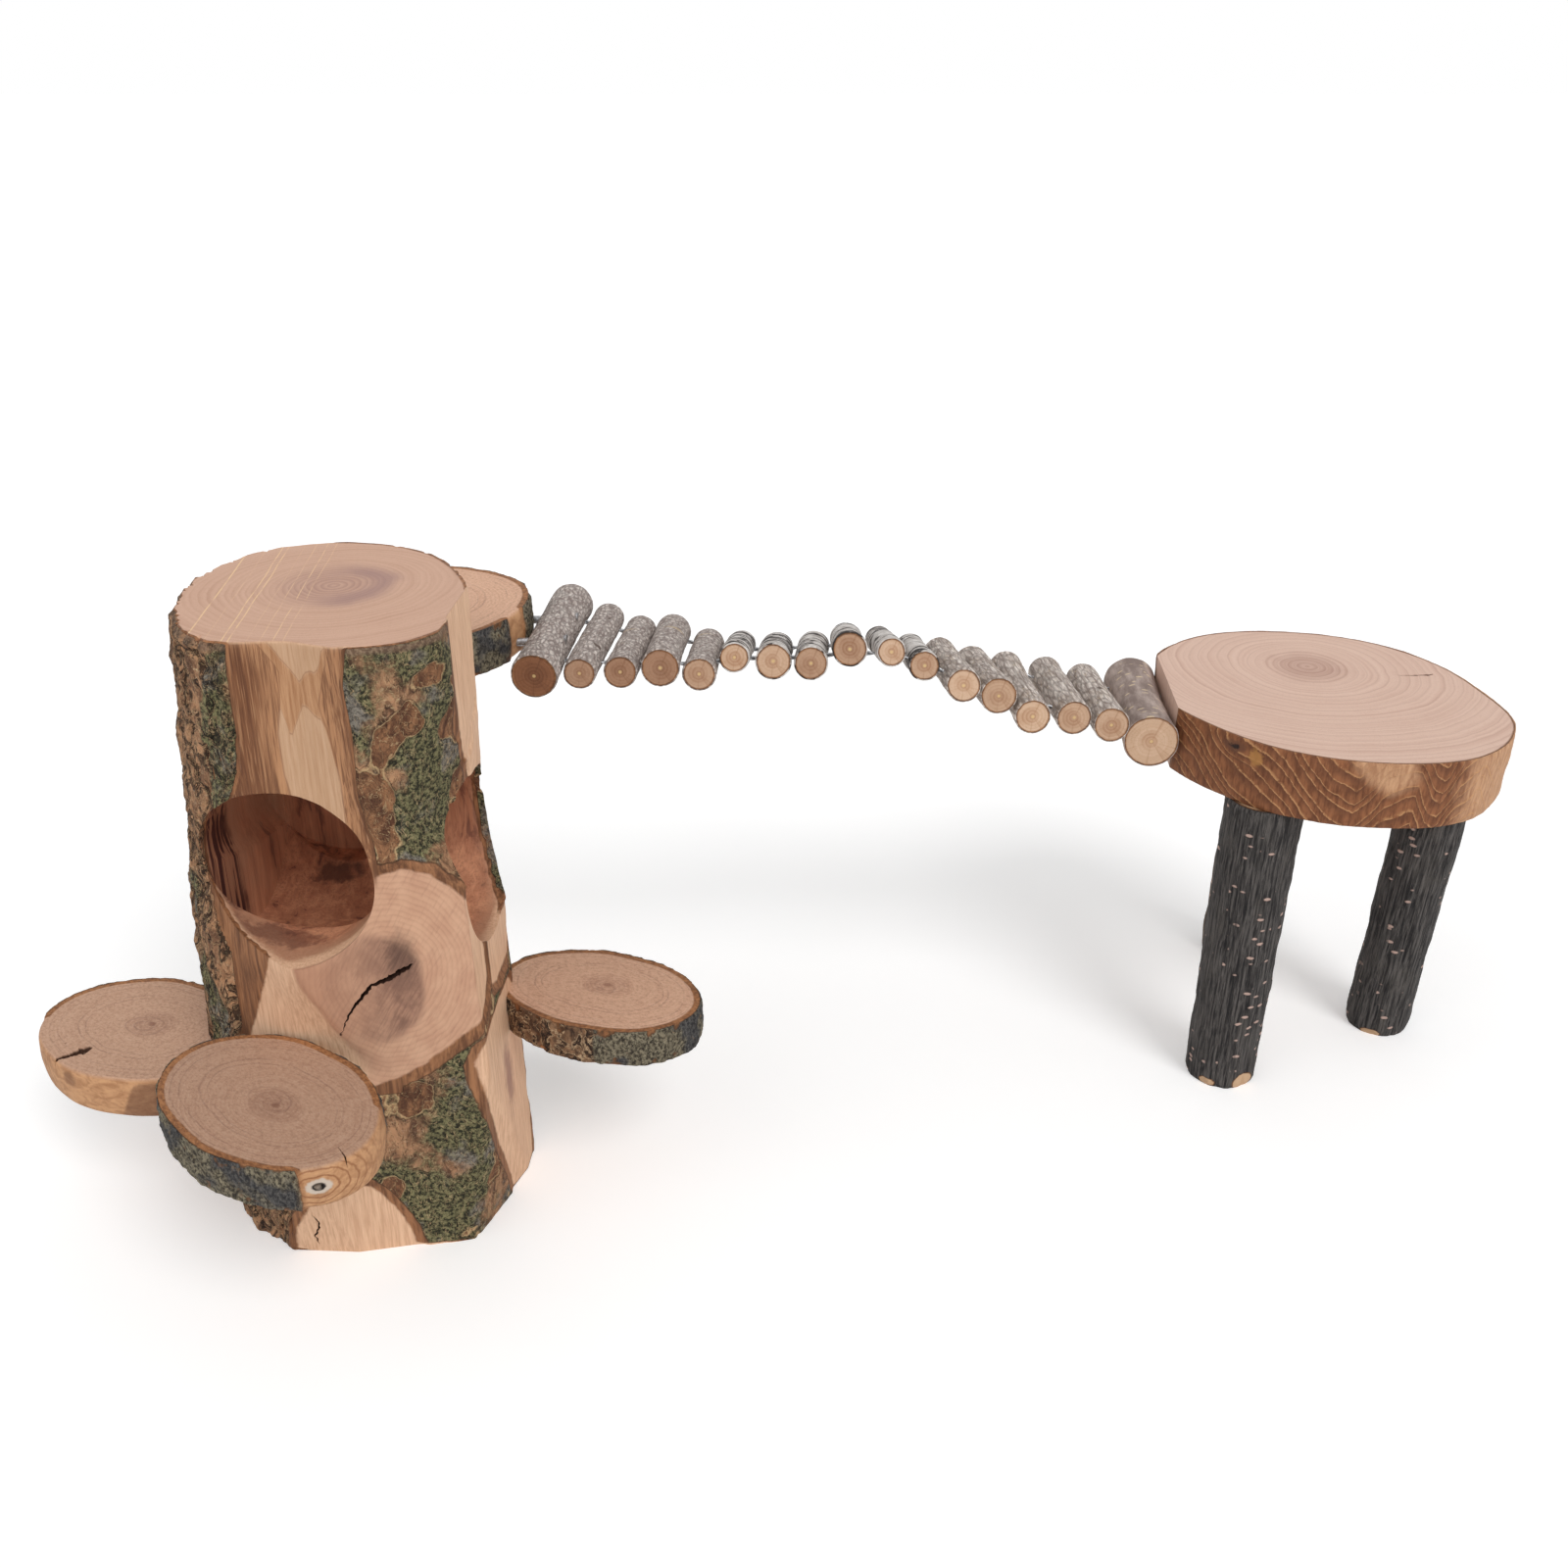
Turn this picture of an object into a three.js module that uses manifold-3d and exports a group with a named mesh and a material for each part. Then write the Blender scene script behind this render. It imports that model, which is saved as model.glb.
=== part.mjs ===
// Hamster climbing ramp: a drilled trunk with four slice steps, a strung bridge and a three-legged stool.
// Millimetres, +Z up. Origin at the centre of the trunk's foot, +X along the bridge, +Y to the back.
import * as THREE from 'three';
import { mergeVertices } from 'three/addons/utils/BufferGeometryUtils.js';
import Module from 'manifold-3d';

const wasm = await Module();
wasm.setup();

// Shared fits
const fitGap = 0.3;
const cutOverrun = 40;
const cutBlockShare = 3;
const sweepClearance = 0.45;

// Trunk
const trunkHeight = 253;
const trunkFootRadius = 60.5;
const trunkLeanX = 1.8;
const trunkLeanY = 4.1;
// Levels of the trunk; the shares are its radius every thirty degrees from +X, anticlockwise
const trunkLevels = [
  {
    height: 0,
    radius: trunkFootRadius,
    shares: [0.97, 0.96, 0.97, 0.98, 1, 1.04, 1.08, 1.03, 1, 1.09, 1.12, 0.965],
  },
  {
    height: 62,
    radius: 58.6,
    shares: [0.99, 0.965, 0.975, 0.99, 1.01, 1.05, 1.095, 1.05, 1.01, 1.05, 1.08, 1.24],
  },
  {
    height: 114,
    radius: 57,
    shares: [0.955, 0.95, 0.98, 1, 1.02, 1.06, 1.11, 1.07, 1.02, 0.945, 1.02, 1.146],
  },
  {
    height: 180,
    radius: 56.5,
    shares: [0.885, 0.88, 0.962, 1.01, 1.053, 1.03, 1.026, 1.01, 1.025, 0.99, 1.035, 0.935],
  },
  {
    height: trunkHeight,
    radius: 56,
    shares: [0.93, 0.88, 0.94, 1.02, 1.09, 1, 0.93, 0.94, 1.03, 0.99, 1.18, 1.13],
  },
];
const trunkSides = 60;
const trunkTiers = 20;

// Main ridges of the rough old bark on the trunk's left and back; they wander, break off and fade at the top
const barkRidgeHeight = 1.5;
const barkRidgeSpacing = 30;
const barkRidgeLength = 58;
const barkRidgeWander = 6;
const barkRidgeTurns = 3;
const barkRidgeBreakShare = 0.4;
const barkRidgeTopFade = 40;
const roughBarkAzimuth = -175;
const roughBarkHalfTurn = 58;
const roughBarkSideFade = 12;

// Swelling where a branch grew out of the trunk, sawn flush
const knotAzimuth = -57;
const knotHeight = 136;
const knotSwell = 14.6;
const knotHalfWidth = 50;
const knotReachAbove = 34;
const knotReachBelow = 41;

// Sawn flats on the trunk: outward direction in degrees, distance from the foot's centre at one level
const trunkFlats = [
  { azimuth: -79, elevation: 0, distance: 54.5, level: 122 },
  { azimuth: -2.4, elevation: 1.4, distance: 51.5, level: 253 },
  { azimuth: -93, elevation: -5, distance: 55.8, level: 0 },
  { azimuth: -20, elevation: -7, distance: 57.5, level: 12 },
];

// Doorways drilled into the trunk
const frontBoreRadius = 33;
const frontBoreX = -10.5;
const frontBoreHeight = 165;
const frontBoreBackY = 34;
const sideBoreRadius = 33.5;
const sideBoreAzimuth = -7;
const sideBoreY = -3;
const sideBoreHeight = 154;
const sideBoreDepth = 40;
const boreSides = 40;

// Dowels of the steps and of the legs
const stepDowelDiameter = 8;
const stepDowelLength = 30;
const legDowelDiameter = 10;
const legDowelLength = 28;
const dowelSides = 14;

// Slice steps: azimuth round the trunk, top height, thickness, half-axes, turn of the long axis, cope
const steps = [
  { name: 'step_left', azimuth: -177.5, top: 70, thick: 18, long: 45, short: 34, turn: -24, cope: 12 },
  { name: 'step_front', azimuth: -99, top: 99, thick: 16.5, long: 48, short: 31, turn: -38, cope: 2.3 },
  { name: 'step_right', azimuth: -1.5, top: 87, thick: 15.5, long: 43, short: 27.5, turn: -21, cope: 4.5 },
  { name: 'step_upper', azimuth: 80.5, top: 222, thick: 18, long: 49, short: 46, turn: 62, cope: 29 },
];
const stepSides = 30;
const stepTiers = 2;
const stepRimBulgeShare = 1.02;
// Small unevenness of a slice's rim, every thirty degrees
const stepRimShares = [1, 1.015, 0.99, 1.01, 0.985, 1, 1.015, 0.99, 1.005, 0.99, 1.01, 0.995];

// Bridge of sticks
const stickDiameter = 14;
const stickLength = 75;
const stickSpacing = 1.8;
const stickSides = 14;
const stickTiers = 4;
const stickUnevenShare = 0.02;
const stickDiameterShares = [
  1.28, 0.98, 0.985, 1.08, 0.99, 0.92, 1.05, 1, 1.03, 0.9, 0.92, 1.03, 1.11, 1.04, 1.09, 1.1, 1.55,
];
const stickLengthShares = [
  1.13, 1, 0.98, 1.02, 0.99, 0.97, 1, 0.98, 1.02, 0.98, 0.97, 1.02, 1, 1.03, 0.99, 1.01, 0.96,
];
// Width of each gap between two sticks, as shares of the spacing
const gapShares = [
  0.72, 0.61, 0.55, 0.61, 0.55, 1.1, 0.9, 0.61, 1.45, 1.05, 1.55, 0.9, 0.67, 2.5, 1.6, 1.6,
];
// How far a stick's middle lies behind the wires' middle line, as shares of the stick length
const stickShiftShares = [
  0, 0, 0.01, 0, -0.02, 0.02, 0, -0.01, 0.02, 0.01, 0, -0.01, 0.01, -0.02, 0, 0.01, 0,
];
// How far a stick's middle lies above its holes, as shares of the stick diameter
const stickRiseShares = [
  0, 0, -0.08, 0.09, -0.14, 0.1, -0.03, -0.09, 0.17, 0.13, 0, -0.02, 0, -0.08, 0.03, 0, 0,
];
const stickTiltDegrees = 18;
const stickTiltShares = [
  0, 0.16, 0.42, 0.53, 0.64, 0.93, 0.95, 0.87, 0.97, 0.93, 0.84, 0.62, 0.6, 0.35, 0.4, 0.42, 0.06,
];
const stickYawDegrees = [
  3, 3.2, 1.5, 0.2, 0.4, 1, 1, 2, 1.2, -0.6, -0.4, -2, -2.2, -0.8, -0.6, 1, 4,
];
const bridgeHeading = 8.2;
const bridgeDrop = 15.2;
const bridgeBackY = 1;
// Slope of each gap of the bridge, downwards, in degrees
const gapFallDegrees = [12.5, 10.5, 8.5, 6, 4.5, 2.5, 0, -1, 4, 15, 22, 21.5, 18, 14, 14, 14];

// Wires that the sticks are strung on
const wireDiameter = 2.2;
const wireHalfSpread = 24;
const wireSides = 8;
const wireStepsPerGap = 3;
const wireEndDepth = 3;

// Screws that hold the end sticks
const screwShankDiameter = 3.4;
const screwHeadDiameter = 6.6;
const screwHeadHeight = 2.8;
const screwTipHeight = 4;
const screwBite = 9;
const screwHalfSpread = 13;
const screwLift = 3;
const screwSink = 0.6;
const screwSides = 12;

// Stool
const stoolRadius = 75;
const stoolTop = 172;
const stoolThick = 29.6;
const stoolOutlineShares = [0.9, 0.91, 0.96, 1, 1.07, 1.07, 1.03, 0.96, 0.97, 1, 1.06, 1.02];
const stoolUndersideShare = 0.975;
const stoolSides = 40;
const stoolTiers = 2;
const stoolFlatFromCentre = 69;
const stoolSlide = 5.5;
const legDiameter = 30;
const legSides = 16;
const legTiers = 3;
// Each leg's foot and head, measured from the stool's centre
const legs = [
  { name: 'front', footX: -37.5, footY: -41.5, headX: -36, headY: -43, footShare: 1.05, headShare: 1.14 },
  { name: 'right', footX: 48.5, footY: -2, headX: 54.5, headY: -6, footShare: 0.98, headShare: 1.02 },
  { name: 'back', footX: -6, footY: 63.5, headX: -3.5, headY: 58, footShare: 0.96, headShare: 1 },
];

const half = 0.5;

const colours = {
  bark: 0x6b6a55,
  cutWood: 0xd2ac92,
  stickBark: 0xa9a29a,
  endStickBark: 0x8f8789,
  stoolWood: 0xc99a74,
  legBark: 0x3c3b39,
  dowelWood: 0xd8b98a,
  steel: 0x9a9c9e,
};

const group = new THREE.Group();

function radians(degrees) {
  return THREE.MathUtils.degToRad(degrees);
}

function headingVector(azimuth) {
  return new THREE.Vector3(Math.cos(radians(azimuth)), Math.sin(radians(azimuth)), 0);
}

// Smooth value of a table of shares that runs once round the piece
function shareAround(shares, angle) {
  const turns = THREE.MathUtils.euclideanModulo(angle / (Math.PI * 2), 1) * shares.length;
  const first = Math.floor(turns);
  const at = (offset) => shares[(first + offset + shares.length) % shares.length];
  const along = turns - first;
  const slopeStart = (at(1) - at(-1)) / 2;
  const slopeEnd = (at(2) - at(0)) / 2;
  const rise = at(1) - at(0);
  const bend = 3 * rise - 2 * slopeStart - slopeEnd;
  const turnBack = slopeStart + slopeEnd - 2 * rise;
  return at(0) + along * (slopeStart + along * (bend + along * turnBack));
}

// A round billet along +Z whose surface follows place(angle, share of the height, share of the radius)
function billet(sides, tiers, place) {
  const geometry = new THREE.CylinderGeometry(1, 1, 1, sides, tiers);
  const position = geometry.attributes.position;
  for (let index = 0; index < position.count; index += 1) {
    const across = position.getX(index);
    const deep = -position.getZ(index);
    const point = place(Math.atan2(deep, across), position.getY(index) + half, Math.hypot(across, deep));
    position.setXYZ(index, point.x, point.y, point.z);
  }
  return geometry;
}

function toSolid(geometry, matrix) {
  const plain = geometry.clone();
  plain.deleteAttribute('normal');
  plain.deleteAttribute('uv');
  if (matrix) {
    plain.applyMatrix4(matrix);
  }
  const merged = mergeVertices(plain);
  return new wasm.Manifold(new wasm.Mesh({
    numProp: 3,
    vertProperties: new Float32Array(merged.attributes.position.array),
    triVerts: new Uint32Array(merged.index.array),
  }));
}

function toGeometry(solid) {
  const mesh = solid.getMesh();
  const geometry = new THREE.BufferGeometry();
  geometry.setAttribute('position', new THREE.BufferAttribute(new Float32Array(mesh.vertProperties), 3));
  geometry.setIndex(new THREE.BufferAttribute(new Uint32Array(mesh.triVerts), 1));
  geometry.computeVertexNormals();
  return geometry;
}

function addMesh(name, geometry, color, roughness, metalness = 0) {
  const mesh = new THREE.Mesh(geometry, new THREE.MeshStandardMaterial({ color, roughness, metalness }));
  mesh.name = name;
  group.add(mesh);
  return mesh;
}

// A straight rod between two points
function rodSolid(radius, start, end, sides) {
  const direction = end.clone().sub(start);
  const length = direction.length();
  const turn = new THREE.Quaternion().setFromUnitVectors(new THREE.Vector3(0, 1, 0), direction.normalize());
  const middle = start.clone().add(end).multiplyScalar(half);
  const matrix = new THREE.Matrix4().compose(middle, turn, new THREE.Vector3(1, 1, 1));
  return toSolid(new THREE.CylinderGeometry(radius, radius, length, sides, 1), matrix);
}

// The facing of a sawn flat
function flatFacing(flat) {
  const facing = headingVector(flat.azimuth).multiplyScalar(Math.cos(radians(flat.elevation)));
  facing.z = Math.sin(radians(flat.elevation));
  return facing;
}

// The wood that a sawn flat takes off, as a block outside the flat
function flatCut(flat, size, grow) {
  const onFlat = headingVector(flat.azimuth).multiplyScalar(flat.distance);
  onFlat.z = flat.level;
  const middle = onFlat.addScaledVector(flatFacing(flat), grow + size / 2);
  const turn = new THREE.Quaternion().setFromEuler(
    new THREE.Euler(0, -radians(flat.elevation), radians(flat.azimuth), 'ZYX'),
  );
  const matrix = new THREE.Matrix4().compose(middle, turn, new THREE.Vector3(1, 1, 1));
  return toSolid(new THREE.BoxGeometry(size, size, size), matrix);
}

function trunkAxis(height) {
  const share = height / trunkHeight;
  return new THREE.Vector3(trunkLeanX * share, trunkLeanY * share, height);
}

// The turn from an azimuth in degrees to an angle, between minus half a turn and half a turn
function turnFrom(azimuth, angle) {
  const turn = angle - radians(azimuth);
  return Math.atan2(Math.sin(turn), Math.cos(turn));
}

// Distance from the trunk's axis to its bark, without the ridges
function trunkRadius(angle, height) {
  const last = trunkLevels.length - 1;
  const above = Math.min(last, Math.max(1, trunkLevels.findIndex((level) => level.height >= height)));
  const low = trunkLevels[above - 1];
  const high = trunkLevels[above];
  const share = (height - low.height) / (high.height - low.height);
  const lowRadius = low.radius * shareAround(low.shares, angle);
  const highRadius = high.radius * shareAround(high.shares, angle);
  const radius = lowRadius + (highRadius - lowRadius) * share;
  const sideways = turnFrom(knotAzimuth, angle) * radius / knotHalfWidth;
  const upwards = (height - knotHeight) / (height > knotHeight ? knotReachAbove : knotReachBelow);
  const away = sideways * sideways + upwards * upwards;
  return radius + knotSwell * Math.exp(-away * away);
}

// How far the main ridges of the rough bark stand out at a place on the trunk
function barkRidge(angle, height) {
  const away = Math.abs(turnFrom(roughBarkAzimuth, angle));
  const smoothEnd = roughBarkHalfTurn + roughBarkSideFade;
  const smooth = THREE.MathUtils.smoothstep(away, radians(roughBarkHalfTurn), radians(smoothEnd));
  const worn = THREE.MathUtils.smoothstep(height, trunkHeight - barkRidgeTopFade, trunkHeight);
  const ridgeCount = Math.round((Math.PI * 2 * trunkFootRadius) / barkRidgeSpacing);
  const wander = (Math.PI * 2 * barkRidgeWander) / barkRidgeSpacing;
  const climb = (Math.PI * 2 * height) / barkRidgeLength;
  const upright = Math.cos(ridgeCount * angle + wander * Math.sin(climb));
  const broken = Math.cos(climb + barkRidgeTurns * angle);
  const relief = upright * (1 - barkRidgeBreakShare) + broken * barkRidgeBreakShare;
  return barkRidgeHeight * relief * (1 - smooth) * (1 - worn);
}

// Distance from the trunk's axis to its finished face, with the sawn flats
function trunkFace(azimuth, height) {
  let distance = trunkRadius(radians(azimuth), height);
  const axis = trunkAxis(height);
  const outward = headingVector(azimuth);
  for (const flat of trunkFlats) {
    const facing = flatFacing(flat);
    const onFlat = headingVector(flat.azimuth).multiplyScalar(flat.distance);
    onFlat.z = flat.level;
    const leaning = facing.dot(outward);
    if (leaning > 0) {
      distance = Math.min(distance, facing.dot(onFlat.sub(axis)) / leaning);
    }
  }
  return distance;
}

// The trunk before drilling; grow widens it all round for the pieces coped to it
function trunkBlank(grow) {
  const blank = billet(trunkSides, trunkTiers, (angle, share, radial) => {
    const height = share * trunkHeight;
    const reach = (trunkRadius(angle, height) + barkRidge(angle, height) + grow) * radial;
    const axis = trunkAxis(height);
    return axis.add(new THREE.Vector3(Math.cos(angle) * reach, Math.sin(angle) * reach, 0));
  });
  let solid = toSolid(blank);
  for (const flat of trunkFlats) {
    solid = solid.subtract(flatCut(flat, trunkHeight * cutBlockShare, grow));
  }
  return solid;
}

// Distance from a slice's centre to its rim
function sliceRadius(step, angle) {
  const along = angle - radians(step.turn);
  const spread = Math.hypot(step.short * Math.cos(along), step.long * Math.sin(along));
  return (step.long * step.short / spread) * shareAround(stepRimShares, angle);
}

function sliceCentre(step) {
  const height = step.top - step.thick / 2;
  const inward = radians(step.azimuth + 180);
  const reach = trunkFace(step.azimuth, height) + sliceRadius(step, inward) - step.cope;
  const axis = trunkAxis(height);
  return headingVector(step.azimuth).multiplyScalar(reach).add(axis);
}

// How far a slice reaches towards +X, seen from above
function sliceReachX(step) {
  let reach = 0;
  for (let index = 0; index < stepSides; index += 1) {
    const angle = (index / stepSides) * Math.PI * 2;
    reach = Math.max(reach, sliceRadius(step, angle) * stepRimBulgeShare * Math.cos(angle));
  }
  return reach;
}

function stepDowelEnds(step, endGap) {
  const height = step.top - step.thick / 2;
  const seat = trunkFace(step.azimuth, height);
  const outward = headingVector(step.azimuth);
  const axis = trunkAxis(height);
  const inner = outward.clone().multiplyScalar(seat - stepDowelLength / 2 - endGap).add(axis);
  const outer = outward.clone().multiplyScalar(seat + stepDowelLength / 2 + endGap).add(axis);
  return [inner, outer];
}

// The stick bridge: middles of the sticks on the centre line and the directions of their axes
const stickCount = stickDiameterShares.length;
const lastStick = stickCount - 1;

function stickRadius(index) {
  return stickDiameter * stickDiameterShares[index] / 2;
}

function stickAxis(index) {
  const tilt = radians(stickTiltDegrees * stickTiltShares[index]);
  const yaw = radians(stickYawDegrees[index]);
  return new THREE.Vector3(Math.sin(yaw) * Math.cos(tilt), Math.cos(yaw) * Math.cos(tilt), -Math.sin(tilt));
}

function bridgeMiddles() {
  const upper = steps[steps.length - 1];
  const centre = sliceCentre(upper);
  const firstReach = stickRadius(0) / Math.cos(radians(stickYawDegrees[0]));
  const startX = centre.x + sliceReachX(upper) + fitGap + firstReach;
  const middles = [new THREE.Vector3(startX, centre.y + bridgeBackY, upper.top - bridgeDrop)];
  for (let index = 1; index < stickCount; index += 1) {
    const pitch = stickRadius(index - 1) + stickRadius(index) + stickSpacing * gapShares[index - 1];
    const fall = radians(gapFallDegrees[index - 1]);
    const step = headingVector(bridgeHeading).multiplyScalar(Math.cos(fall));
    step.z = -Math.sin(fall);
    middles.push(middles[index - 1].clone().addScaledVector(step, pitch));
  }
  return middles;
}

const middles = bridgeMiddles();

function stickPlace(index) {
  const shift = stickShiftShares[index] * stickLength;
  const turn = new THREE.Quaternion().setFromUnitVectors(new THREE.Vector3(0, 0, 1), stickAxis(index));
  const position = middles[index].clone().addScaledVector(stickAxis(index), shift);
  position.z += stickRiseShares[index] * stickDiameter;
  return { position, turn };
}

// The route of a wire through the holes of all the sticks; side is -1 at the front and 1 at the back
function wireRoute(side) {
  const spread = side * wireHalfSpread;
  const points = middles.map((middle, index) => middle.clone().addScaledVector(stickAxis(index), spread));
  const first = points[0].clone().sub(points[1]).normalize().multiplyScalar(wireEndDepth).add(points[0]);
  const last = points[lastStick].clone().sub(points[lastStick - 1]).normalize();
  last.multiplyScalar(wireEndDepth).add(points[lastStick]);
  return new THREE.CatmullRomCurve3([first, ...points, last], false, 'centripetal');
}

function sweptRound(route, radius) {
  const section = new THREE.Shape();
  for (let index = 0; index < wireSides; index += 1) {
    const angle = (index / wireSides) * Math.PI * 2;
    const x = radius * Math.cos(angle);
    const y = radius * Math.sin(angle);
    if (index === 0) {
      section.moveTo(x, y);
    } else {
      section.lineTo(x, y);
    }
  }
  section.closePath();
  return new THREE.ExtrudeGeometry(section, {
    steps: wireStepsPerGap * stickCount,
    bevelEnabled: false,
    extrudePath: route,
  });
}

// A screw that lies from its head's top to its tip
function screwProfile(length, grow) {
  const shank = screwShankDiameter / 2 + grow;
  const head = screwHeadDiameter / 2 + grow;
  return [
    new THREE.Vector2(0, -grow),
    new THREE.Vector2(head, -grow),
    new THREE.Vector2(head, grow),
    new THREE.Vector2(shank, screwHeadHeight + grow),
    new THREE.Vector2(shank, length - screwTipHeight + grow),
    new THREE.Vector2(0, length + grow),
  ];
}

function screwMatrix(head, direction) {
  const turn = new THREE.Quaternion().setFromUnitVectors(new THREE.Vector3(0, 1, 0), direction);
  return new THREE.Matrix4().compose(head, turn, new THREE.Vector3(1, 1, 1));
}

function screwGeometry(length, grow) {
  return new THREE.LatheGeometry(screwProfile(length, grow), screwSides);
}

// The screws at an end stick, with their lengths, heads and directions
function endScrews(index, direction, lift, place) {
  return [-1, 1].map((side) => {
    const middle = middles[index].clone().addScaledVector(stickAxis(index), side * screwHalfSpread);
    middle.z += lift;
    const halfChord = Math.sqrt(stickRadius(index) ** 2 - lift ** 2);
    const head = middle.clone().addScaledVector(direction, screwSink - halfChord);
    const length = halfChord * 2 - screwSink + screwBite;
    return { name: `${place}_screw_${side < 0 ? 'front' : 'rear'}`, head, direction, length };
  });
}

const houseScrews = endScrews(0, new THREE.Vector3(-1, 0, 0), screwLift, 'house');
const stoolScrews = endScrews(lastStick, new THREE.Vector3(1, 0, 0), 0, 'stool');

function cutScrews(solid, screws) {
  let result = solid;
  for (const screw of screws) {
    const geometry = screwGeometry(screw.length, fitGap);
    result = result.subtract(toSolid(geometry, screwMatrix(screw.head, screw.direction)));
  }
  return result;
}

// The headroom over a countersunk screw, so that its hole is open
function cutScrewMouths(solid, screws) {
  let result = solid;
  for (const screw of screws) {
    const outside = screw.head.clone().addScaledVector(screw.direction, -screwHeadDiameter);
    result = result.subtract(rodSolid(screwHeadDiameter / 2 + fitGap, outside, screw.head, screwSides));
  }
  return result;
}

function buildTrunk() {
  let solid = trunkBlank(0);
  const frontStart = new THREE.Vector3(frontBoreX, -trunkFootRadius - cutOverrun, frontBoreHeight);
  const frontEnd = new THREE.Vector3(frontBoreX, frontBoreBackY, frontBoreHeight);
  solid = solid.subtract(rodSolid(frontBoreRadius, frontStart, frontEnd, boreSides));
  const sideways = headingVector(sideBoreAzimuth);
  const sideStart = sideways.clone().multiplyScalar(-sideBoreDepth);
  const sideEnd = sideways.clone().multiplyScalar(trunkFootRadius + cutOverrun);
  for (const end of [sideStart, sideEnd]) {
    end.y += sideBoreY;
    end.z = sideBoreHeight;
  }
  solid = solid.subtract(rodSolid(sideBoreRadius, sideStart, sideEnd, boreSides));
  for (const step of steps) {
    const [inner, outer] = stepDowelEnds(step, fitGap);
    solid = solid.subtract(rodSolid(stepDowelDiameter / 2 + fitGap, inner, outer, dowelSides));
  }
  addMesh('trunk_house', toGeometry(solid), colours.bark, 0.9);
}

function buildSteps() {
  const seat = trunkBlank(fitGap);
  for (const step of steps) {
    const centre = sliceCentre(step);
    const blank = billet(stepSides, stepTiers, (angle, share, radial) => {
      const bulge = 1 + (stepRimBulgeShare - 1) * Math.sin(share * Math.PI);
      const reach = sliceRadius(step, angle) * bulge * radial;
      const level = (share - half) * step.thick;
      return new THREE.Vector3(Math.cos(angle) * reach, Math.sin(angle) * reach, level);
    });
    const matrix = new THREE.Matrix4().makeTranslation(centre.x, centre.y, centre.z);
    let solid = toSolid(blank, matrix).subtract(seat);
    const [inner, outer] = stepDowelEnds(step, fitGap);
    solid = solid.subtract(rodSolid(stepDowelDiameter / 2 + fitGap, inner, outer, dowelSides));
    if (step === steps[steps.length - 1]) {
      solid = cutScrews(solid, houseScrews);
    }
    const slice = toGeometry(solid.translate([-centre.x, -centre.y, -centre.z]));
    const mesh = addMesh(step.name, slice, colours.cutWood, 0.75);
    mesh.position.copy(centre);
    const [dowelInner, dowelOuter] = stepDowelEnds(step, 0);
    const dowel = rodSolid(stepDowelDiameter / 2, dowelInner, dowelOuter, dowelSides);
    addMesh(`${step.name}_dowel`, toGeometry(dowel), colours.dowelWood, 0.7);
  }
}

function buildSticks() {
  const holeRadius = wireDiameter / 2 + sweepClearance;
  const holes = [-1, 1].map((side) => toSolid(sweptRound(wireRoute(side), holeRadius)));
  for (let index = 0; index < stickCount; index += 1) {
    const { position, turn } = stickPlace(index);
    const length = stickLength * stickLengthShares[index];
    const phase = index * index;
    const blank = billet(stickSides, stickTiers, (angle, share, radial) => {
      const round = Math.abs(Math.sin(angle + phase));
      const lengthways = Math.abs(Math.sin(share * Math.PI * 2 + phase));
      const reach = stickRadius(index) * (1 - stickUnevenShare * (round + lengthways)) * radial;
      return new THREE.Vector3(Math.cos(angle) * reach, Math.sin(angle) * reach, (share - half) * length);
    });
    const matrix = new THREE.Matrix4().compose(position, turn, new THREE.Vector3(1, 1, 1));
    let solid = toSolid(blank, matrix);
    for (const hole of holes) {
      solid = solid.subtract(hole);
    }
    if (index === 0) {
      solid = cutScrewMouths(cutScrews(solid, houseScrews), houseScrews);
    }
    if (index === lastStick) {
      solid = cutScrewMouths(cutScrews(solid, stoolScrews), stoolScrews);
    }
    const geometry = toGeometry(solid);
    geometry.applyMatrix4(matrix.clone().invert());
    const isEnd = index === 0 || index === lastStick;
    const name = `bridge_stick_${String(index + 1).padStart(2, '0')}`;
    const mesh = addMesh(name, geometry, isEnd ? colours.endStickBark : colours.stickBark, 0.85);
    mesh.position.copy(position);
    mesh.quaternion.copy(turn);
  }
  for (const side of [-1, 1]) {
    const wire = toGeometry(toSolid(sweptRound(wireRoute(side), wireDiameter / 2)));
    addMesh(side < 0 ? 'bridge_wire_front' : 'bridge_wire_rear', wire, colours.steel, 0.45, 1);
  }
  for (const screw of [...houseScrews, ...stoolScrews]) {
    const geometry = toGeometry(toSolid(screwGeometry(screw.length, 0)));
    const mesh = addMesh(screw.name, geometry, colours.steel, 0.4, 1);
    mesh.applyMatrix4(screwMatrix(screw.head, screw.direction));
  }
}

// The stool stands where its sawn flat meets the last stick
const stoolFlatAzimuth = 180 - stickYawDegrees[lastStick];

function stoolCentre() {
  const inward = headingVector(stoolFlatAzimuth);
  const along = headingVector(stoolFlatAzimuth + 90);
  const contact = middles[lastStick].clone().addScaledVector(inward, -(stickRadius(lastStick) + fitGap));
  const centre = contact.addScaledVector(inward, -stoolFlatFromCentre).addScaledVector(along, stoolSlide);
  return new THREE.Vector3(centre.x, centre.y, stoolTop);
}

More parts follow.
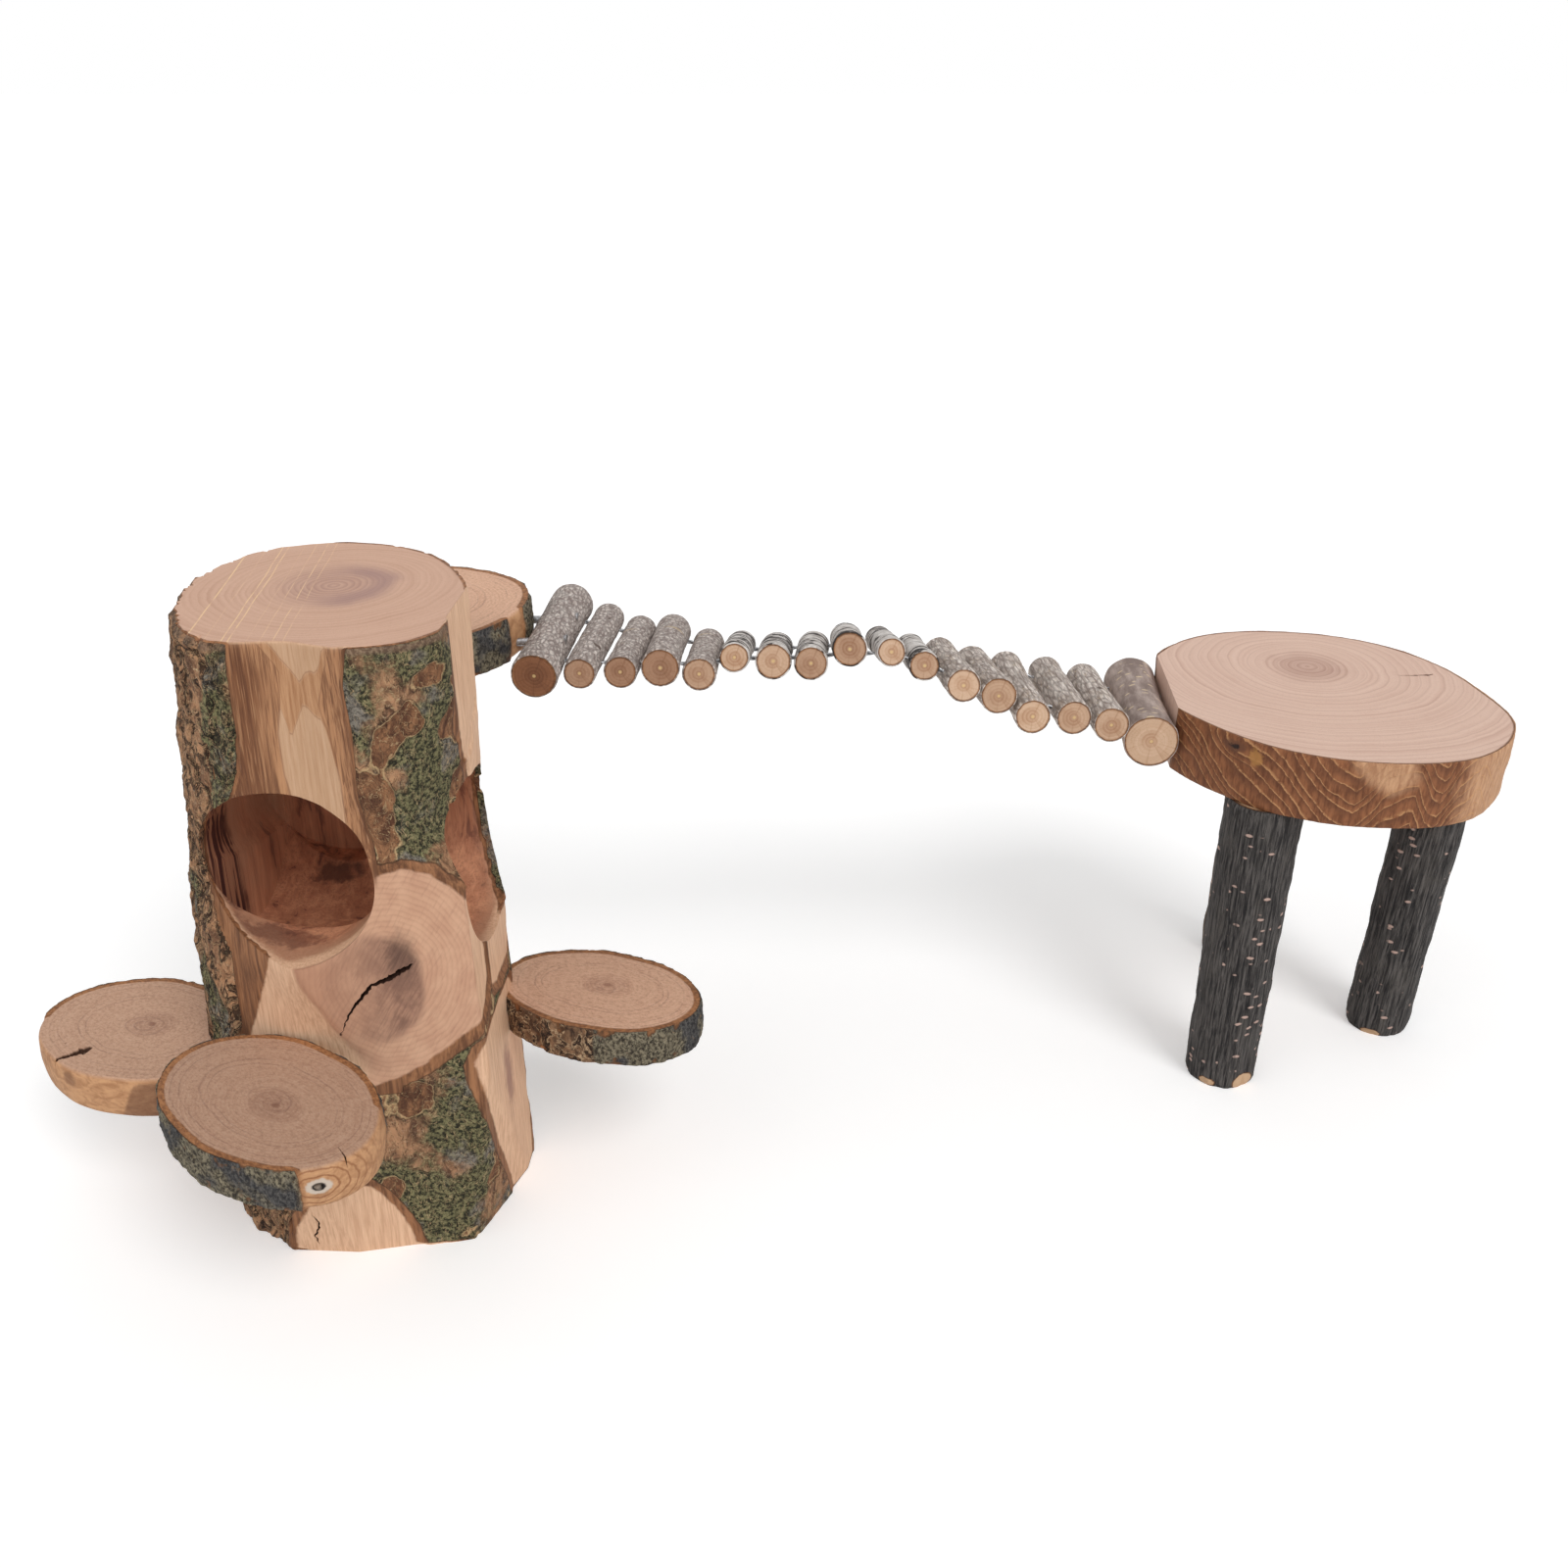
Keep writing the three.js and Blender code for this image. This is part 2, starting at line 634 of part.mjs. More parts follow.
function buildStool() {
  const stool = new THREE.Group();
  const centre = stoolCentre();
  stool.position.copy(centre);
  const blank = billet(stoolSides, stoolTiers, (angle, share, radial) => {
    const edge = stoolUndersideShare + (1 - stoolUndersideShare) * share;
    const reach = stoolRadius * shareAround(stoolOutlineShares, angle) * edge * radial;
    return new THREE.Vector3(Math.cos(angle) * reach, Math.sin(angle) * reach, (share - 1) * stoolThick);
  });
  const flat = { azimuth: stoolFlatAzimuth, elevation: 0, distance: stoolFlatFromCentre, level: 0 };
  const place = new THREE.Matrix4().makeTranslation(centre.x, centre.y, centre.z);
  let top = toSolid(blank).subtract(flatCut(flat, stoolRadius * cutBlockShare, 0));
  const underside = -stoolThick;
  for (const leg of legs) {
    const drilled = new THREE.Vector3(leg.headX, leg.headY, underside + legDowelLength / 2 + fitGap);
    const below = new THREE.Vector3(leg.headX, leg.headY, underside - cutOverrun);
    top = top.subtract(rodSolid(legDowelDiameter / 2 + fitGap, below, drilled, dowelSides));
  }
  top = cutScrews(toSolid(toGeometry(top), place), stoolScrews);
  const topGeometry = toGeometry(top);
  topGeometry.applyMatrix4(place.clone().invert());
  const topMesh = addMesh('stool_top', topGeometry, colours.stoolWood, 0.7);
  stool.add(topMesh);

  const headHeight = underside - fitGap;
  for (const leg of legs) {
    const legBlank = billet(legSides, legTiers, (angle, share, radial) => {
      const reach = (legDiameter / 2) * (leg.footShare + (leg.headShare - leg.footShare) * share) * radial;
      const x = leg.footX + (leg.headX - leg.footX) * share;
      const y = leg.footY + (leg.headY - leg.footY) * share;
      const z = -stoolTop + (headHeight + stoolTop) * share;
      return new THREE.Vector3(x + Math.cos(angle) * reach, y + Math.sin(angle) * reach, z);
    });
    const low = new THREE.Vector3(leg.headX, leg.headY, underside - legDowelLength / 2);
    const high = new THREE.Vector3(leg.headX, leg.headY, underside + legDowelLength / 2);
    const drilled = low.clone();
    drilled.z -= fitGap;
    const above = high.clone();
    above.z += cutOverrun;
    const socket = rodSolid(legDowelDiameter / 2 + fitGap, drilled, above, dowelSides);
    const solid = toSolid(legBlank).subtract(socket);
    stool.add(addMesh(`leg_${leg.name}`, toGeometry(solid), colours.legBark, 0.85));
    const dowel = rodSolid(legDowelDiameter / 2, low, high, dowelSides);
    stool.add(addMesh(`leg_${leg.name}_dowel`, toGeometry(dowel), colours.dowelWood, 0.7));
  }
  group.add(stool);
}

buildTrunk();
buildSteps();
buildSticks();
buildStool();

export default group;
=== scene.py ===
"""Hamster climbing ramp: a drilled trunk with slice steps, a strung stick bridge and a log stool."""
import math

import bmesh
import bpy
import numpy as np
from mathutils import Matrix, Vector, noise


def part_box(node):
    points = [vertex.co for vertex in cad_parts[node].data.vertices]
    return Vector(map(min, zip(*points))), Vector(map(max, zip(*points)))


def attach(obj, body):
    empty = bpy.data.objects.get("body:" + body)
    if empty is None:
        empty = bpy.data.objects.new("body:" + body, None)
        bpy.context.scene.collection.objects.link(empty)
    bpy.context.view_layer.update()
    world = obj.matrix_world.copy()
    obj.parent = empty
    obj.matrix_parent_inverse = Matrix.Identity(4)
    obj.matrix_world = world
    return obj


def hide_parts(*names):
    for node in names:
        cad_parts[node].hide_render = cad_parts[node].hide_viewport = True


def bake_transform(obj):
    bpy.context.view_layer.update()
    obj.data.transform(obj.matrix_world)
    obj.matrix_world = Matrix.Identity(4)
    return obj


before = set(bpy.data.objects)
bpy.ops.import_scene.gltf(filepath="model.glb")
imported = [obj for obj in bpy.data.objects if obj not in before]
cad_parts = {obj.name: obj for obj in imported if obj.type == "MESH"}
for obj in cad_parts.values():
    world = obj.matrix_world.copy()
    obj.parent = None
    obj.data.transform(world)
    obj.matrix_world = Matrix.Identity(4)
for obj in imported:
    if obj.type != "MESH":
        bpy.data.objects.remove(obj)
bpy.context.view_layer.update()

# Studio
# A pale seamless floor under even daylight, with two broad lamps and a camera
# in front of the doorway, a little above the top of the trunk.
camera_place = (0.1657, -0.5161, 0.4320)
camera_pitch = math.radians(26.2)
camera_lens = 35.18
floor_reach = 12.0
floor_colour = (0.93, 0.93, 0.93, 1)
floor_roughness = 0.9
floor_glow = 0.26
daylight = 0.52
lamps = {
    "key": {"turn": (44, 0, 32), "strength": 1.25, "softness": 26},
    "fill": {"turn": (52, 0, -58), "strength": 0.42, "softness": 60},
}


class Signal:
    """What comes out of a node: a number, place or colour. Whatever is made of it is a further node."""

    def __init__(self, socket):
        self.socket = socket

    def node(self, kind, values, output=0, **settings):
        return add_node(self.socket.id_data, kind, {0: self, **values}, output, **settings)

    def maths(self, operation, second=0.0, clamp=False):
        return self.node("ShaderNodeMath", {1: second}, operation=operation, use_clamp=clamp)

    def vectors(self, operation, second):
        return self.node("ShaderNodeVectorMath", {1: second}, operation=operation)

    def __add__(self, other):
        return self.maths("ADD", other)

    __radd__ = __add__

    def __sub__(self, other):
        return self.maths("SUBTRACT", other)

    def __mul__(self, other):
        return self.maths("MULTIPLY", other)

    def __truediv__(self, other):
        return self.maths("DIVIDE", other)

    def __and__(self, other):
        """The share of a place where both shares hold."""
        return self.maths("MULTIPLY", other, clamp=True)

    def either(self, other):
        return self.maths("MAXIMUM", other)

    def flip(self):
        return self.node("ShaderNodeMath", {0: 1.0, 1: self}, operation="SUBTRACT", use_clamp=True)

    def rise(self, low, high):
        """A smooth rise from 0 to 1 as the signal goes from low to high."""
        return self.node("ShaderNodeMapRange", {1: low, 2: high}, interpolation_type="SMOOTHSTEP")

    def fall(self, low, high):
        return self.rise(low, high).flip()

    def band(self, middle, width):
        """1 where the signal is at the middle, falling to 0 at half the width from it."""
        return (self - middle).maths("ABSOLUTE").fall(0, width / 2)

    def blend(self, first, second):
        """The first number where this share is 0, the second where it is 1."""
        return self.node("ShaderNodeMix", {2: first, 3: second}, data_type="FLOAT")

    def mix(self, first, second):
        """The first colour where this share is 0, the second where it is 1; a tuple is painted."""
        colours = [paint(*part) if isinstance(part, tuple) else part for part in (first, second)]
        return self.node("ShaderNodeMix", {6: colours[0], 7: colours[1]}, 2, data_type="RGBA")

    def noise(self, size, detail=4.0, rough=0.55, warp=0.0):
        """Noise from about 0 to 1 at this place, whose lumps have that size in millimetres."""
        values = {"Scale": 1 / size, "Detail": detail, "Roughness": rough, "Distortion": warp}
        return self.node("ShaderNodeTexNoise", values)

    def uneven(self, size, amount, **more):
        """Noise centred on nothing, that reaches about the amount each way."""
        return (self.noise(size, **more) - 0.5) * (2.4 * amount)

    def cells(self, size, feature="DISTANCE_TO_EDGE"):
        return self.node("ShaderNodeTexVoronoi", {"Scale": 1 / size}, "Distance", feature=feature)

    def stretch(self, x=1.0, y=1.0, z=1.0):
        """This place with its patterns drawn out along an axis where the factor is less than 1."""
        return self.vectors("MULTIPLY", (x, y, z))

    def moved(self, by):
        return self.vectors("ADD", by)

    def parts(self):
        return [Signal(part) for part in self.node("ShaderNodeSeparateXYZ", {}).socket.node.outputs]

    def length(self):
        return self.node("ShaderNodeVectorMath", {}, "Value", operation="LENGTH")

    def direction(self):
        return self.node("ShaderNodeVectorMath", {}, operation="NORMALIZE")

    def scale(self, factor):
        return self.node("ShaderNodeVectorMath", {"Scale": factor}, operation="SCALE")


def join(node, values):
    """Links signals to a node's inputs, and sets the inputs that are given plain values."""
    for key, value in values.items():
        if isinstance(value, Signal):
            node.id_data.links.new(value.socket, node.inputs[key])
        else:
            node.inputs[key].default_value = value


def add_node(tree, kind, values, output=0, **settings):
    """Adds a node to a tree, and gives the signal that comes out of it."""
    made = tree.nodes.new(kind)
    for setting, value in settings.items():
        setattr(made, setting, value)
    join(made, values)
    return Signal(made.outputs[output])


def paint(red, green, blue):
    """A colour given as it shows on screen, from 0 to 255, as Blender's own linear colour."""
    shown = np.array([red, green, blue]) / 255
    linear = np.where(shown < 0.04045, shown / 12.92, ((shown + 0.055) / 1.055) ** 2.4)
    return (*linear.tolist(), 1)


camera_data = bpy.data.cameras.new("camera")
camera_data.lens = camera_lens
camera = bpy.data.objects.new("camera", camera_data)
camera.location = camera_place
camera.rotation_euler = (math.pi / 2 - camera_pitch, 0, 0)
bpy.context.collection.objects.link(camera)
scene = bpy.context.scene
scene.camera = camera
scene.view_settings.view_transform = "Standard"

for lamp_name, lamp in lamps.items():
    sun = bpy.data.lights.new(lamp_name, "SUN")
    sun.energy = lamp["strength"]
    sun.angle = math.radians(lamp["softness"])
    sun_object = bpy.data.objects.new(lamp_name, sun)
    sun_object.rotation_euler = [math.radians(turn) for turn in lamp["turn"]]
    bpy.context.collection.objects.link(sun_object)

world = bpy.data.worlds.new("daylight")
scene.world = world
world.use_nodes = True
ray_kinds = world.node_tree.nodes.new("ShaderNodeLightPath").outputs
camera_ray, glossy_ray, through_ray = (
    Signal(ray_kinds[f"Is {kind} Ray"]) for kind in ("Camera", "Glossy", "Transmission")
)
seen = camera_ray.either(glossy_ray).either(through_ray)
world_level = seen.node("ShaderNodeMapRange", {"To Min": daylight, "To Max": 1})
join(world.node_tree.nodes["Background"], {"Strength": world_level, "Color": (1, 1, 1, 1)})

floor_mesh = bpy.data.meshes.new("floor")
corners = [(-1, -1), (1, -1), (1, 1), (-1, 1)]
floor_mesh.from_pydata([(x * floor_reach, y * floor_reach, 0) for x, y in corners], [], [(0, 1, 2, 3)])
floor = bpy.data.objects.new("floor", floor_mesh)
bpy.context.collection.objects.link(floor)
floor_paint = bpy.data.materials.new("floor_paper")
floor_paint.use_nodes = True
camera_ray = add_node(floor_paint.node_tree, "ShaderNodeLightPath", {}, "Is Camera Ray")
join(floor_paint.node_tree.nodes["Principled BSDF"], {
    "Base Color": floor_colour, "Roughness": floor_roughness,
    "Emission Color": (1, 1, 1, 1), "Emission Strength": camera_ray * floor_glow,
})
floor_mesh.materials.append(floor_paint)

# Trunk house
# A length of natural trunk with rough bark, sawn off flat at both ends and on four sides, peeled
# at the front, and drilled with two wide doorways that meet inside. Sizes are in millimetres.
MM = 0.001
sharp_angle = math.radians(50)
trunk_height = 253
trunk_lean = (1.8, 4.1)
# Height, radius, and its shares every thirty degrees from +X, anticlockwise
trunk_levels = [
    (0, 60.5, [0.97, 0.96, 0.97, 0.98, 1, 1.04, 1.08, 1.03, 1, 1.09, 1.12, 0.965]),
    (62, 58.6, [0.99, 0.965, 0.975, 0.99, 1.01, 1.05, 1.095, 1.05, 1.01, 1.05, 1.08, 1.24]),
    (114, 57, [0.955, 0.95, 0.98, 1, 1.02, 1.06, 1.11, 1.07, 1.02, 0.945, 1.02, 1.146]),
    (180, 56.5, [0.885, 0.88, 0.962, 1.01, 1.053, 1.03, 1.026, 1.01, 1.025, 0.99, 1.035, 0.935]),
    (253, 56, [0.93, 0.88, 0.94, 1.02, 1.09, 1, 0.93, 0.94, 1.03, 0.99, 1.18, 1.13]),
]
knot = {"azimuth": -57, "height": 136, "swell": 14.6, "half_width": 50, "above": 34, "below": 41}
rough_bark = {"azimuth": -175, "half_turn": 58, "side_fade": 12}
bark_ridges = {"height": 1.5, "spacing": 30, "length": 58, "wander": 6, "turns": 3, "break_share": 0.4,
               "top_fade": 40}
# Azimuth and elevation of each sawn flat's facing, its distance from the foot's centre at a level
trunk_flats = [(-79, 0, 54.5, 122), (-2.4, 1.4, 51.5, 253), (-93, -5, 55.8, 0), (-20, -7, 57.5, 12)]
# Where the front is peeled: height, then azimuths of the bark edge and the bare wood, left and right
peeled_strip = [
    (72, -131, -126, -72, -66.7),
    (100, -131, -123, -72, -66.7),
    (115, -131, -117, -72, -66.7),
    (129, -131, -111, -72, -66.7),
    (140, -138, -115, -72, -66.7),
    (157, -141.5, -128, -72, -66.7),
    (172, -139.5, -112, -72, -66.7),
    (179, -129.6, -104, -72, -66.7),
    (197, -117, -98, -74, -70),
    (206, -113, -98.5, -75, -70),
    (221, -111, -98.5, -74.4, -69.5),
    (239, -111, -97, -76.6, -70.7),
    (253, -110, -96, -78.7, -68.4),
]
# The brown flame that hangs from the top of the peeled strip: azimuth, lower and upper height
flame_edge = [
    (-99, 214, 256), (-97.2, 226, 254), (-94, 229, 250), (-92.1, 220, 247), (-91.2, 219.5, 245.8),
    (-87.3, 227.5, 241.5), (-85.6, 230.4, 238.6), (-83.2, 229.5, 242), (-81.2, 226.5, 243),
    (-78.8, 225.5, 243), (-77, 215.8, 247), (-76, 207, 252),
]
# Where the brown beside the flame ends: height, azimuths left and right
flame_sides = [
    (197, -95, -75.4), (205, -96.3, -75.6), (213, -96.4, -76.3), (220, -96.5, -77.5), (231, -94.2, -79.5),
    (242, -93, -76.7), (246, -95.5, -75.4), (253, -100.5, -74.8),
]
# Where the wood shows on the sawn places of the trunk's side: azimuths and heights round each one
bare_zones = [
    [(-66, 167.6), (-59.2, 169.5), (-51.6, 166.2), (-45.8, 159.4), (-39, 149), (-33.5, 137), (-30.8, 124),
     (-31.2, 113), (-36, 106), (-43, 100.5), (-49.4, 94.1), (-58.2, 86.2), (-68, 81), (-77.1, 78.6),
     (-100, 76), (-129, 78), (-129.5, 90), (-127.1, 97.6), (-121.2, 111.1), (-114.4, 125.4),
     (-108, 140), (-90, 160)],
    [(-3, 93), (-20, 94), (-33, 93), (-41, 90), (-43.6, 83), (-42.6, 74.1), (-39.6, 60.2), (-32.2, 35),
     (-21.2, 8.7), (-16, -8), (2, -8), (7, 20), (8, 60), (4, 85)],
    [(-27.6, 262), (-28.2, 234), (-28, 212), (-24, 201), (-19.8, 193), (-17.2, 186), (6, 182), (13, 190),
     (16, 212), (18, 240), (19, 262)],
    [(-25.8, 126), (-20, 122), (10, 122), (13, 108), (8, 103), (-20, 102.5), (-26.2, 105)],
    [(-116, -8), (-114, 12), (-106, 26), (-94, 34), (-84, 32), (-79.3, 27), (-73.9, 18.1), (-70.5, 10),
     (-66, -8)],
]
saw_slant = 0.09
# Pale lines that the saw left on the trunk's top: offset to the right, width and strength
saw_lines = [
    (-39.6, 0.9, 1), (-27.2, 0.8, 0.9), (-25, 0.8, 0.9), (-14.8, 0.6, 0.5), (-10.6, 0.7, 0.7),
    (-7.2, 0.6, 0.5), (-33, 0.5, 0.3), (-19, 0.5, 0.3),
]
inner_bark_width = 4
peel_depths = (2.6, 4.6, 5.4)
# Where the peeled strip ends at its foot, and the heights between which it reaches its depth there
strip_foot = 74
peel_start = (70, 84)
front_bore = {"radius": 33, "x": -10.5, "z": 165, "back_y": 34}
side_bore = {"radius": 33.5, "azimuth": -7, "y": -3, "z": 154, "depth": 40}
pith_foot = (2.5, 4)
pith_head = (4, 9)
# Turns an angle round the trunk into millimetres along its bark, for the spots on it
bark_radius = 57
# Heights of the parts of the bark's relief, and how far bark stands over the flat beside bare wood
bark_relief = {"plate": 0.9, "flake": 1.1, "fissure": 1.5, "fine": 0.35, "fluting": 0.16, "over_flat": 1.4}
# The bark's edge at the top is worn back, more so on the left and back
worn_top = {"reach": 3, "front": 0.8, "more_behind": 1.6, "behind": (100, 115)}
bore_spacing = 2.5
# Both bores start or end this far out, well outside the trunk
bore_outside = 120
crack_step = 0.6
crack_reach = 6


def share_around(shares, angles):
    """Smooth value of a table of shares that runs once round the piece."""
    turns = np.mod(angles / (2 * np.pi), 1) * len(shares)
    first = np.floor(turns).astype(int)
    along = turns - first
    before, here, after, beyond = (np.take(shares, first + step, mode="wrap") for step in (-1, 0, 1, 2))
    slope_start = (after - before) / 2
    slope_end = (beyond - here) / 2
    rise = after - here
    bend = 3 * rise - 2 * slope_start - slope_end
    turn_back = slope_start + slope_end - 2 * rise
    return here + along * (slope_start + along * (bend + along * turn_back))


def turned(angles):
    """The angles brought between minus half a turn and half a turn."""
    return np.mod(angles + np.pi, 2 * np.pi) - np.pi


def trunk_axis(heights):
    """Where the leaning axis of the trunk is at some heights."""
    share = heights / trunk_height
    return trunk_lean[0] * share, trunk_lean[1] * share


def trunk_radius(angles, heights):
    """Distance from the trunk's axis to its bark, before any sawing."""
    level_heights = [level[0] for level in trunk_levels]
    rings = np.array([level[1] * share_around(level[2], angles) for level in trunk_levels])
    above = np.clip(np.searchsorted(level_heights, heights), 1, len(trunk_levels) - 1)
    low = np.take(level_heights, above - 1)
    share = (heights - low) / (np.take(level_heights, above) - low)
    low_ring = np.take_along_axis(rings, (above - 1)[None], 0)[0]
    high_ring = np.take_along_axis(rings, above[None], 0)[0]
    radius = low_ring + (high_ring - low_ring) * share
    sideways = turned(angles - math.radians(knot["azimuth"])) * radius / knot["half_width"]
    upwards = heights - knot["height"]
    upwards = upwards / np.where(upwards > 0, knot["above"], knot["below"])
    away = sideways**2 + upwards**2
    return radius + knot["swell"] * np.exp(-(away**2))


def rough_share(angles):
    """1 on the rough old bark of the trunk's left and back, 0 where its bark is smoother."""
    away = np.degrees(np.abs(turned(angles - math.radians(rough_bark["azimuth"]))))
    return 1 - ease(away, rough_bark["half_turn"], rough_bark["half_turn"] + rough_bark["side_fade"])


def bark_ridge(angles, heights):
    """How far the main ridges of the rough bark stand out; they wander, break off and fade at the top."""
    worn = ease(heights, trunk_height - bark_ridges["top_fade"], trunk_height)
    count = round(2 * math.pi * trunk_levels[0][1] / bark_ridges["spacing"])
    wander = 2 * math.pi * bark_ridges["wander"] / bark_ridges["spacing"]
    climb = 2 * math.pi * heights / bark_ridges["length"]
    upright = np.cos(count * angles + wander * np.sin(climb))
    broken = np.cos(climb + bark_ridges["turns"] * angles)
    relief = upright * (1 - bark_ridges["break_share"]) + broken * bark_ridges["break_share"]
    return bark_ridges["height"] * relief * rough_share(angles) * (1 - worn)


def flat_distance(angles, heights):
    """Distance from the trunk's axis to the nearest sawn flat."""
    nearest = np.full(angles.shape, np.inf)
    axis_x, axis_y = trunk_axis(heights)
    for azimuth, elevation, distance, level in trunk_flats:
        facing = math.radians(azimuth)
        rise = math.radians(elevation)
        flat_x, flat_y = math.cos(facing) * math.cos(rise), math.sin(facing) * math.cos(rise)
        offset = flat_x * (math.cos(facing) * distance - axis_x)
        offset = offset + flat_y * (math.sin(facing) * distance - axis_y)
        offset = offset + math.sin(rise) * (level - heights)
        leaning = flat_x * np.cos(angles) + flat_y * np.sin(angles)
        reach = offset / np.maximum(leaning, 0.01)
        nearest = np.where(leaning > 0.01, np.minimum(nearest, reach), nearest)
    return nearest


def fuzz(points, size, seed, octaves=4, stretch=1):
    """Smooth natural unevenness from about -1 to 1, with lumps of one size, longer along Z if stretched."""
    scaled = points.reshape(-1, 3) / size / np.array([1, 1, stretch]) + seed * 17.3
    values = [noise.fractal(place, 0.9, 2, octaves) for place in scaled]
    return np.array(values).reshape(points.shape[:-1])


def ease(values, low, high):
    """A smooth rise from 0 to 1 as the values go from low to high."""
    share = np.clip((values - low) / (high - low), 0, 1)
    return share * share * (3 - 2 * share)


def peel_depth(angles, heights):
    """How deep the front is peeled below the bark, in millimetres."""
    strip = np.array(peeled_strip).T
    left, left_wood, right_wood, right = (np.interp(heights, strip[0], edge) for edge in strip[1:])
    azimuth = np.degrees(angles)
    stops = np.stack([left - 1, left, left_wood, (left_wood + right_wood) / 2, right_wood, right, right + 1])
    depths = [0, peel_depths[0], peel_depths[1], peel_depths[2], peel_depths[1], peel_depths[0], 0]
    depth = np.zeros(angles.shape)
    for index in range(len(depths) - 1):
        inside = (azimuth >= stops[index]) & (azimuth < stops[index + 1])
        share = (azimuth - stops[index]) / (stops[index + 1] - stops[index])
        depth = np.where(inside, depths[index] + (depths[index + 1] - depths[index]) * share, depth)
    return depth * ease(heights, *peel_start)


def inside_distance(places, outline):
    """Distance of places from an outline, more than 0 within it; both hold pairs of numbers."""
    nearest = np.full(places.shape[:-1], np.inf)
    within = np.zeros(places.shape[:-1], bool)
    outline = np.array(outline, float)
    for start, end in zip(outline, np.roll(outline, -1, 0)):
        side = end - start
        share = np.clip((places - start) @ side / (side @ side), 0, 1)
        away = places - start - share[..., None] * side
        nearest = np.minimum(nearest, np.hypot(away[..., 0], away[..., 1]))
        crosses = (start[1] > places[..., 1]) != (end[1] > places[..., 1])
        met = start[0] + side[0] * (places[..., 1] - start[1]) / (side[1] if side[1] else 1)
        within ^= crosses & (places[..., 0] < met)
    return np.where(within, nearest, -nearest)


def bare_distance(azimuth, height):
    """How far a place is inside the trunk's bare zones; a degree round the trunk is about a millimetre."""
    places = np.stack([azimuth, height], -1)
    return np.max([inside_distance(places, zone) for zone in bare_zones], 0)


def strip_distance(azimuth, height):
    """How far a place is inside the peeled strip at the front."""
    strip = np.array(peeled_strip).T
    left, right = np.interp(height, strip[0], strip[1]), np.interp(height, strip[0], strip[4])
    return np.minimum(np.minimum(azimuth - left, right - azimuth), (height - strip_foot) / 2)


def round_grid(sides, tiers, top=1):
    """Angles and heights of the points on a round's side, tier by tier."""
    return np.meshgrid(np.linspace(-np.pi, np.pi, sides, endpoint=False), np.linspace(0, top, tiers))


def placed_round(centre, angles, reach, levels):
    """Points at some distance from an upright centre line."""
    return np.stack([centre[0] + np.cos(angles) * reach, centre[1] + np.sin(angles) * reach, levels], -1)


def upended(start, way):
    """The matrix that takes a mesh that stands on the origin to a start, pointing along a way."""
    return Matrix.Translation(start) @ Vector(way).to_track_quat("Z", "Y").to_matrix().to_4x4()


def round_mesh(name, rings, insets=(0.6, 1.2, 2, 3, 4.5, 6.5, 10, 16)):
    """A closed mesh of a round of wood; rings holds the points of its side, ring by ring, in millimetres."""
    levels, sides = rings.shape[:2]
    points = [rings.reshape(-1, 3)]
    faces = []

    def join(first, second):
        around = np.arange(sides)
        after = np.roll(around, -1)
        faces.extend(np.stack([first + around, first + after, second + after, second + around], 1).tolist())

    for level in range(levels - 1):
        join(level * sides, (level + 1) * sides)
    count = levels * sides
    for rim_start, rim, upward in ((0, rings[0], False), ((levels - 1) * sides, rings[-1], True)):
        centre = rim.mean(0)
        reach = np.linalg.norm(rim - centre, axis=1)[:, None]
        outer = rim_start
        for inset in insets:
            points.append(centre + (rim - centre) * np.maximum(1 - inset / reach, 0.1))
            join(*((outer, count) if upward else (count, outer)))
            outer = count
            count += sides
        points.append(centre[None])
        for index in range(sides):
            edge = [outer + index, outer + (index + 1) % sides]
            faces.append([count, *(edge if upward else edge[::-1])])
        count += 1
    mesh = bpy.data.meshes.new(name)
    mesh.from_pydata(np.concatenate(points).tolist(), [], faces)
    mesh.update()
    return mesh


def place_piece(name, mesh):
    """A new object in the scene that holds a mesh."""
    piece = bpy.data.objects.new(name, mesh)
    bpy.context.collection.objects.link(piece)
    return piece


def carve(piece, cutter_mesh):
    """Cuts one closed mesh out of a piece."""
    cutter = place_piece("cutter", cutter_mesh)
    modifier = piece.modifiers.new("carve", "BOOLEAN")
    modifier.operation = "DIFFERENCE"
    modifier.solver = "MANIFOLD"
    modifier.object = cutter
    evaluated = piece.evaluated_get(bpy.context.evaluated_depsgraph_get())
    carved = bpy.data.meshes.new_from_object(evaluated)
    piece.modifiers.clear()
    piece.data = carved
    bpy.data.objects.remove(cutter)
    bpy.data.meshes.remove(cutter_mesh)


def bore_mesh(radius, start, end, sides=112):
    """A dense closed cylinder between two points, to drill with."""
    start, end = Vector(start), Vector(end)
    length = (end - start).length
    angles = np.linspace(0, 2 * np.pi, sides, endpoint=False)
    heights = np.linspace(0, length, int(length / bore_spacing) + 1)
    rings = np.zeros((len(heights), sides, 3))
    rings[..., 0] = np.cos(angles) * radius
    rings[..., 1] = np.sin(angles) * radius
    rings[..., 2] = heights[:, None]
    mesh = round_mesh("bore", rings, insets=np.arange(2, radius - 2, 3))
    mesh.transform(upended(start, end - start))
    return mesh


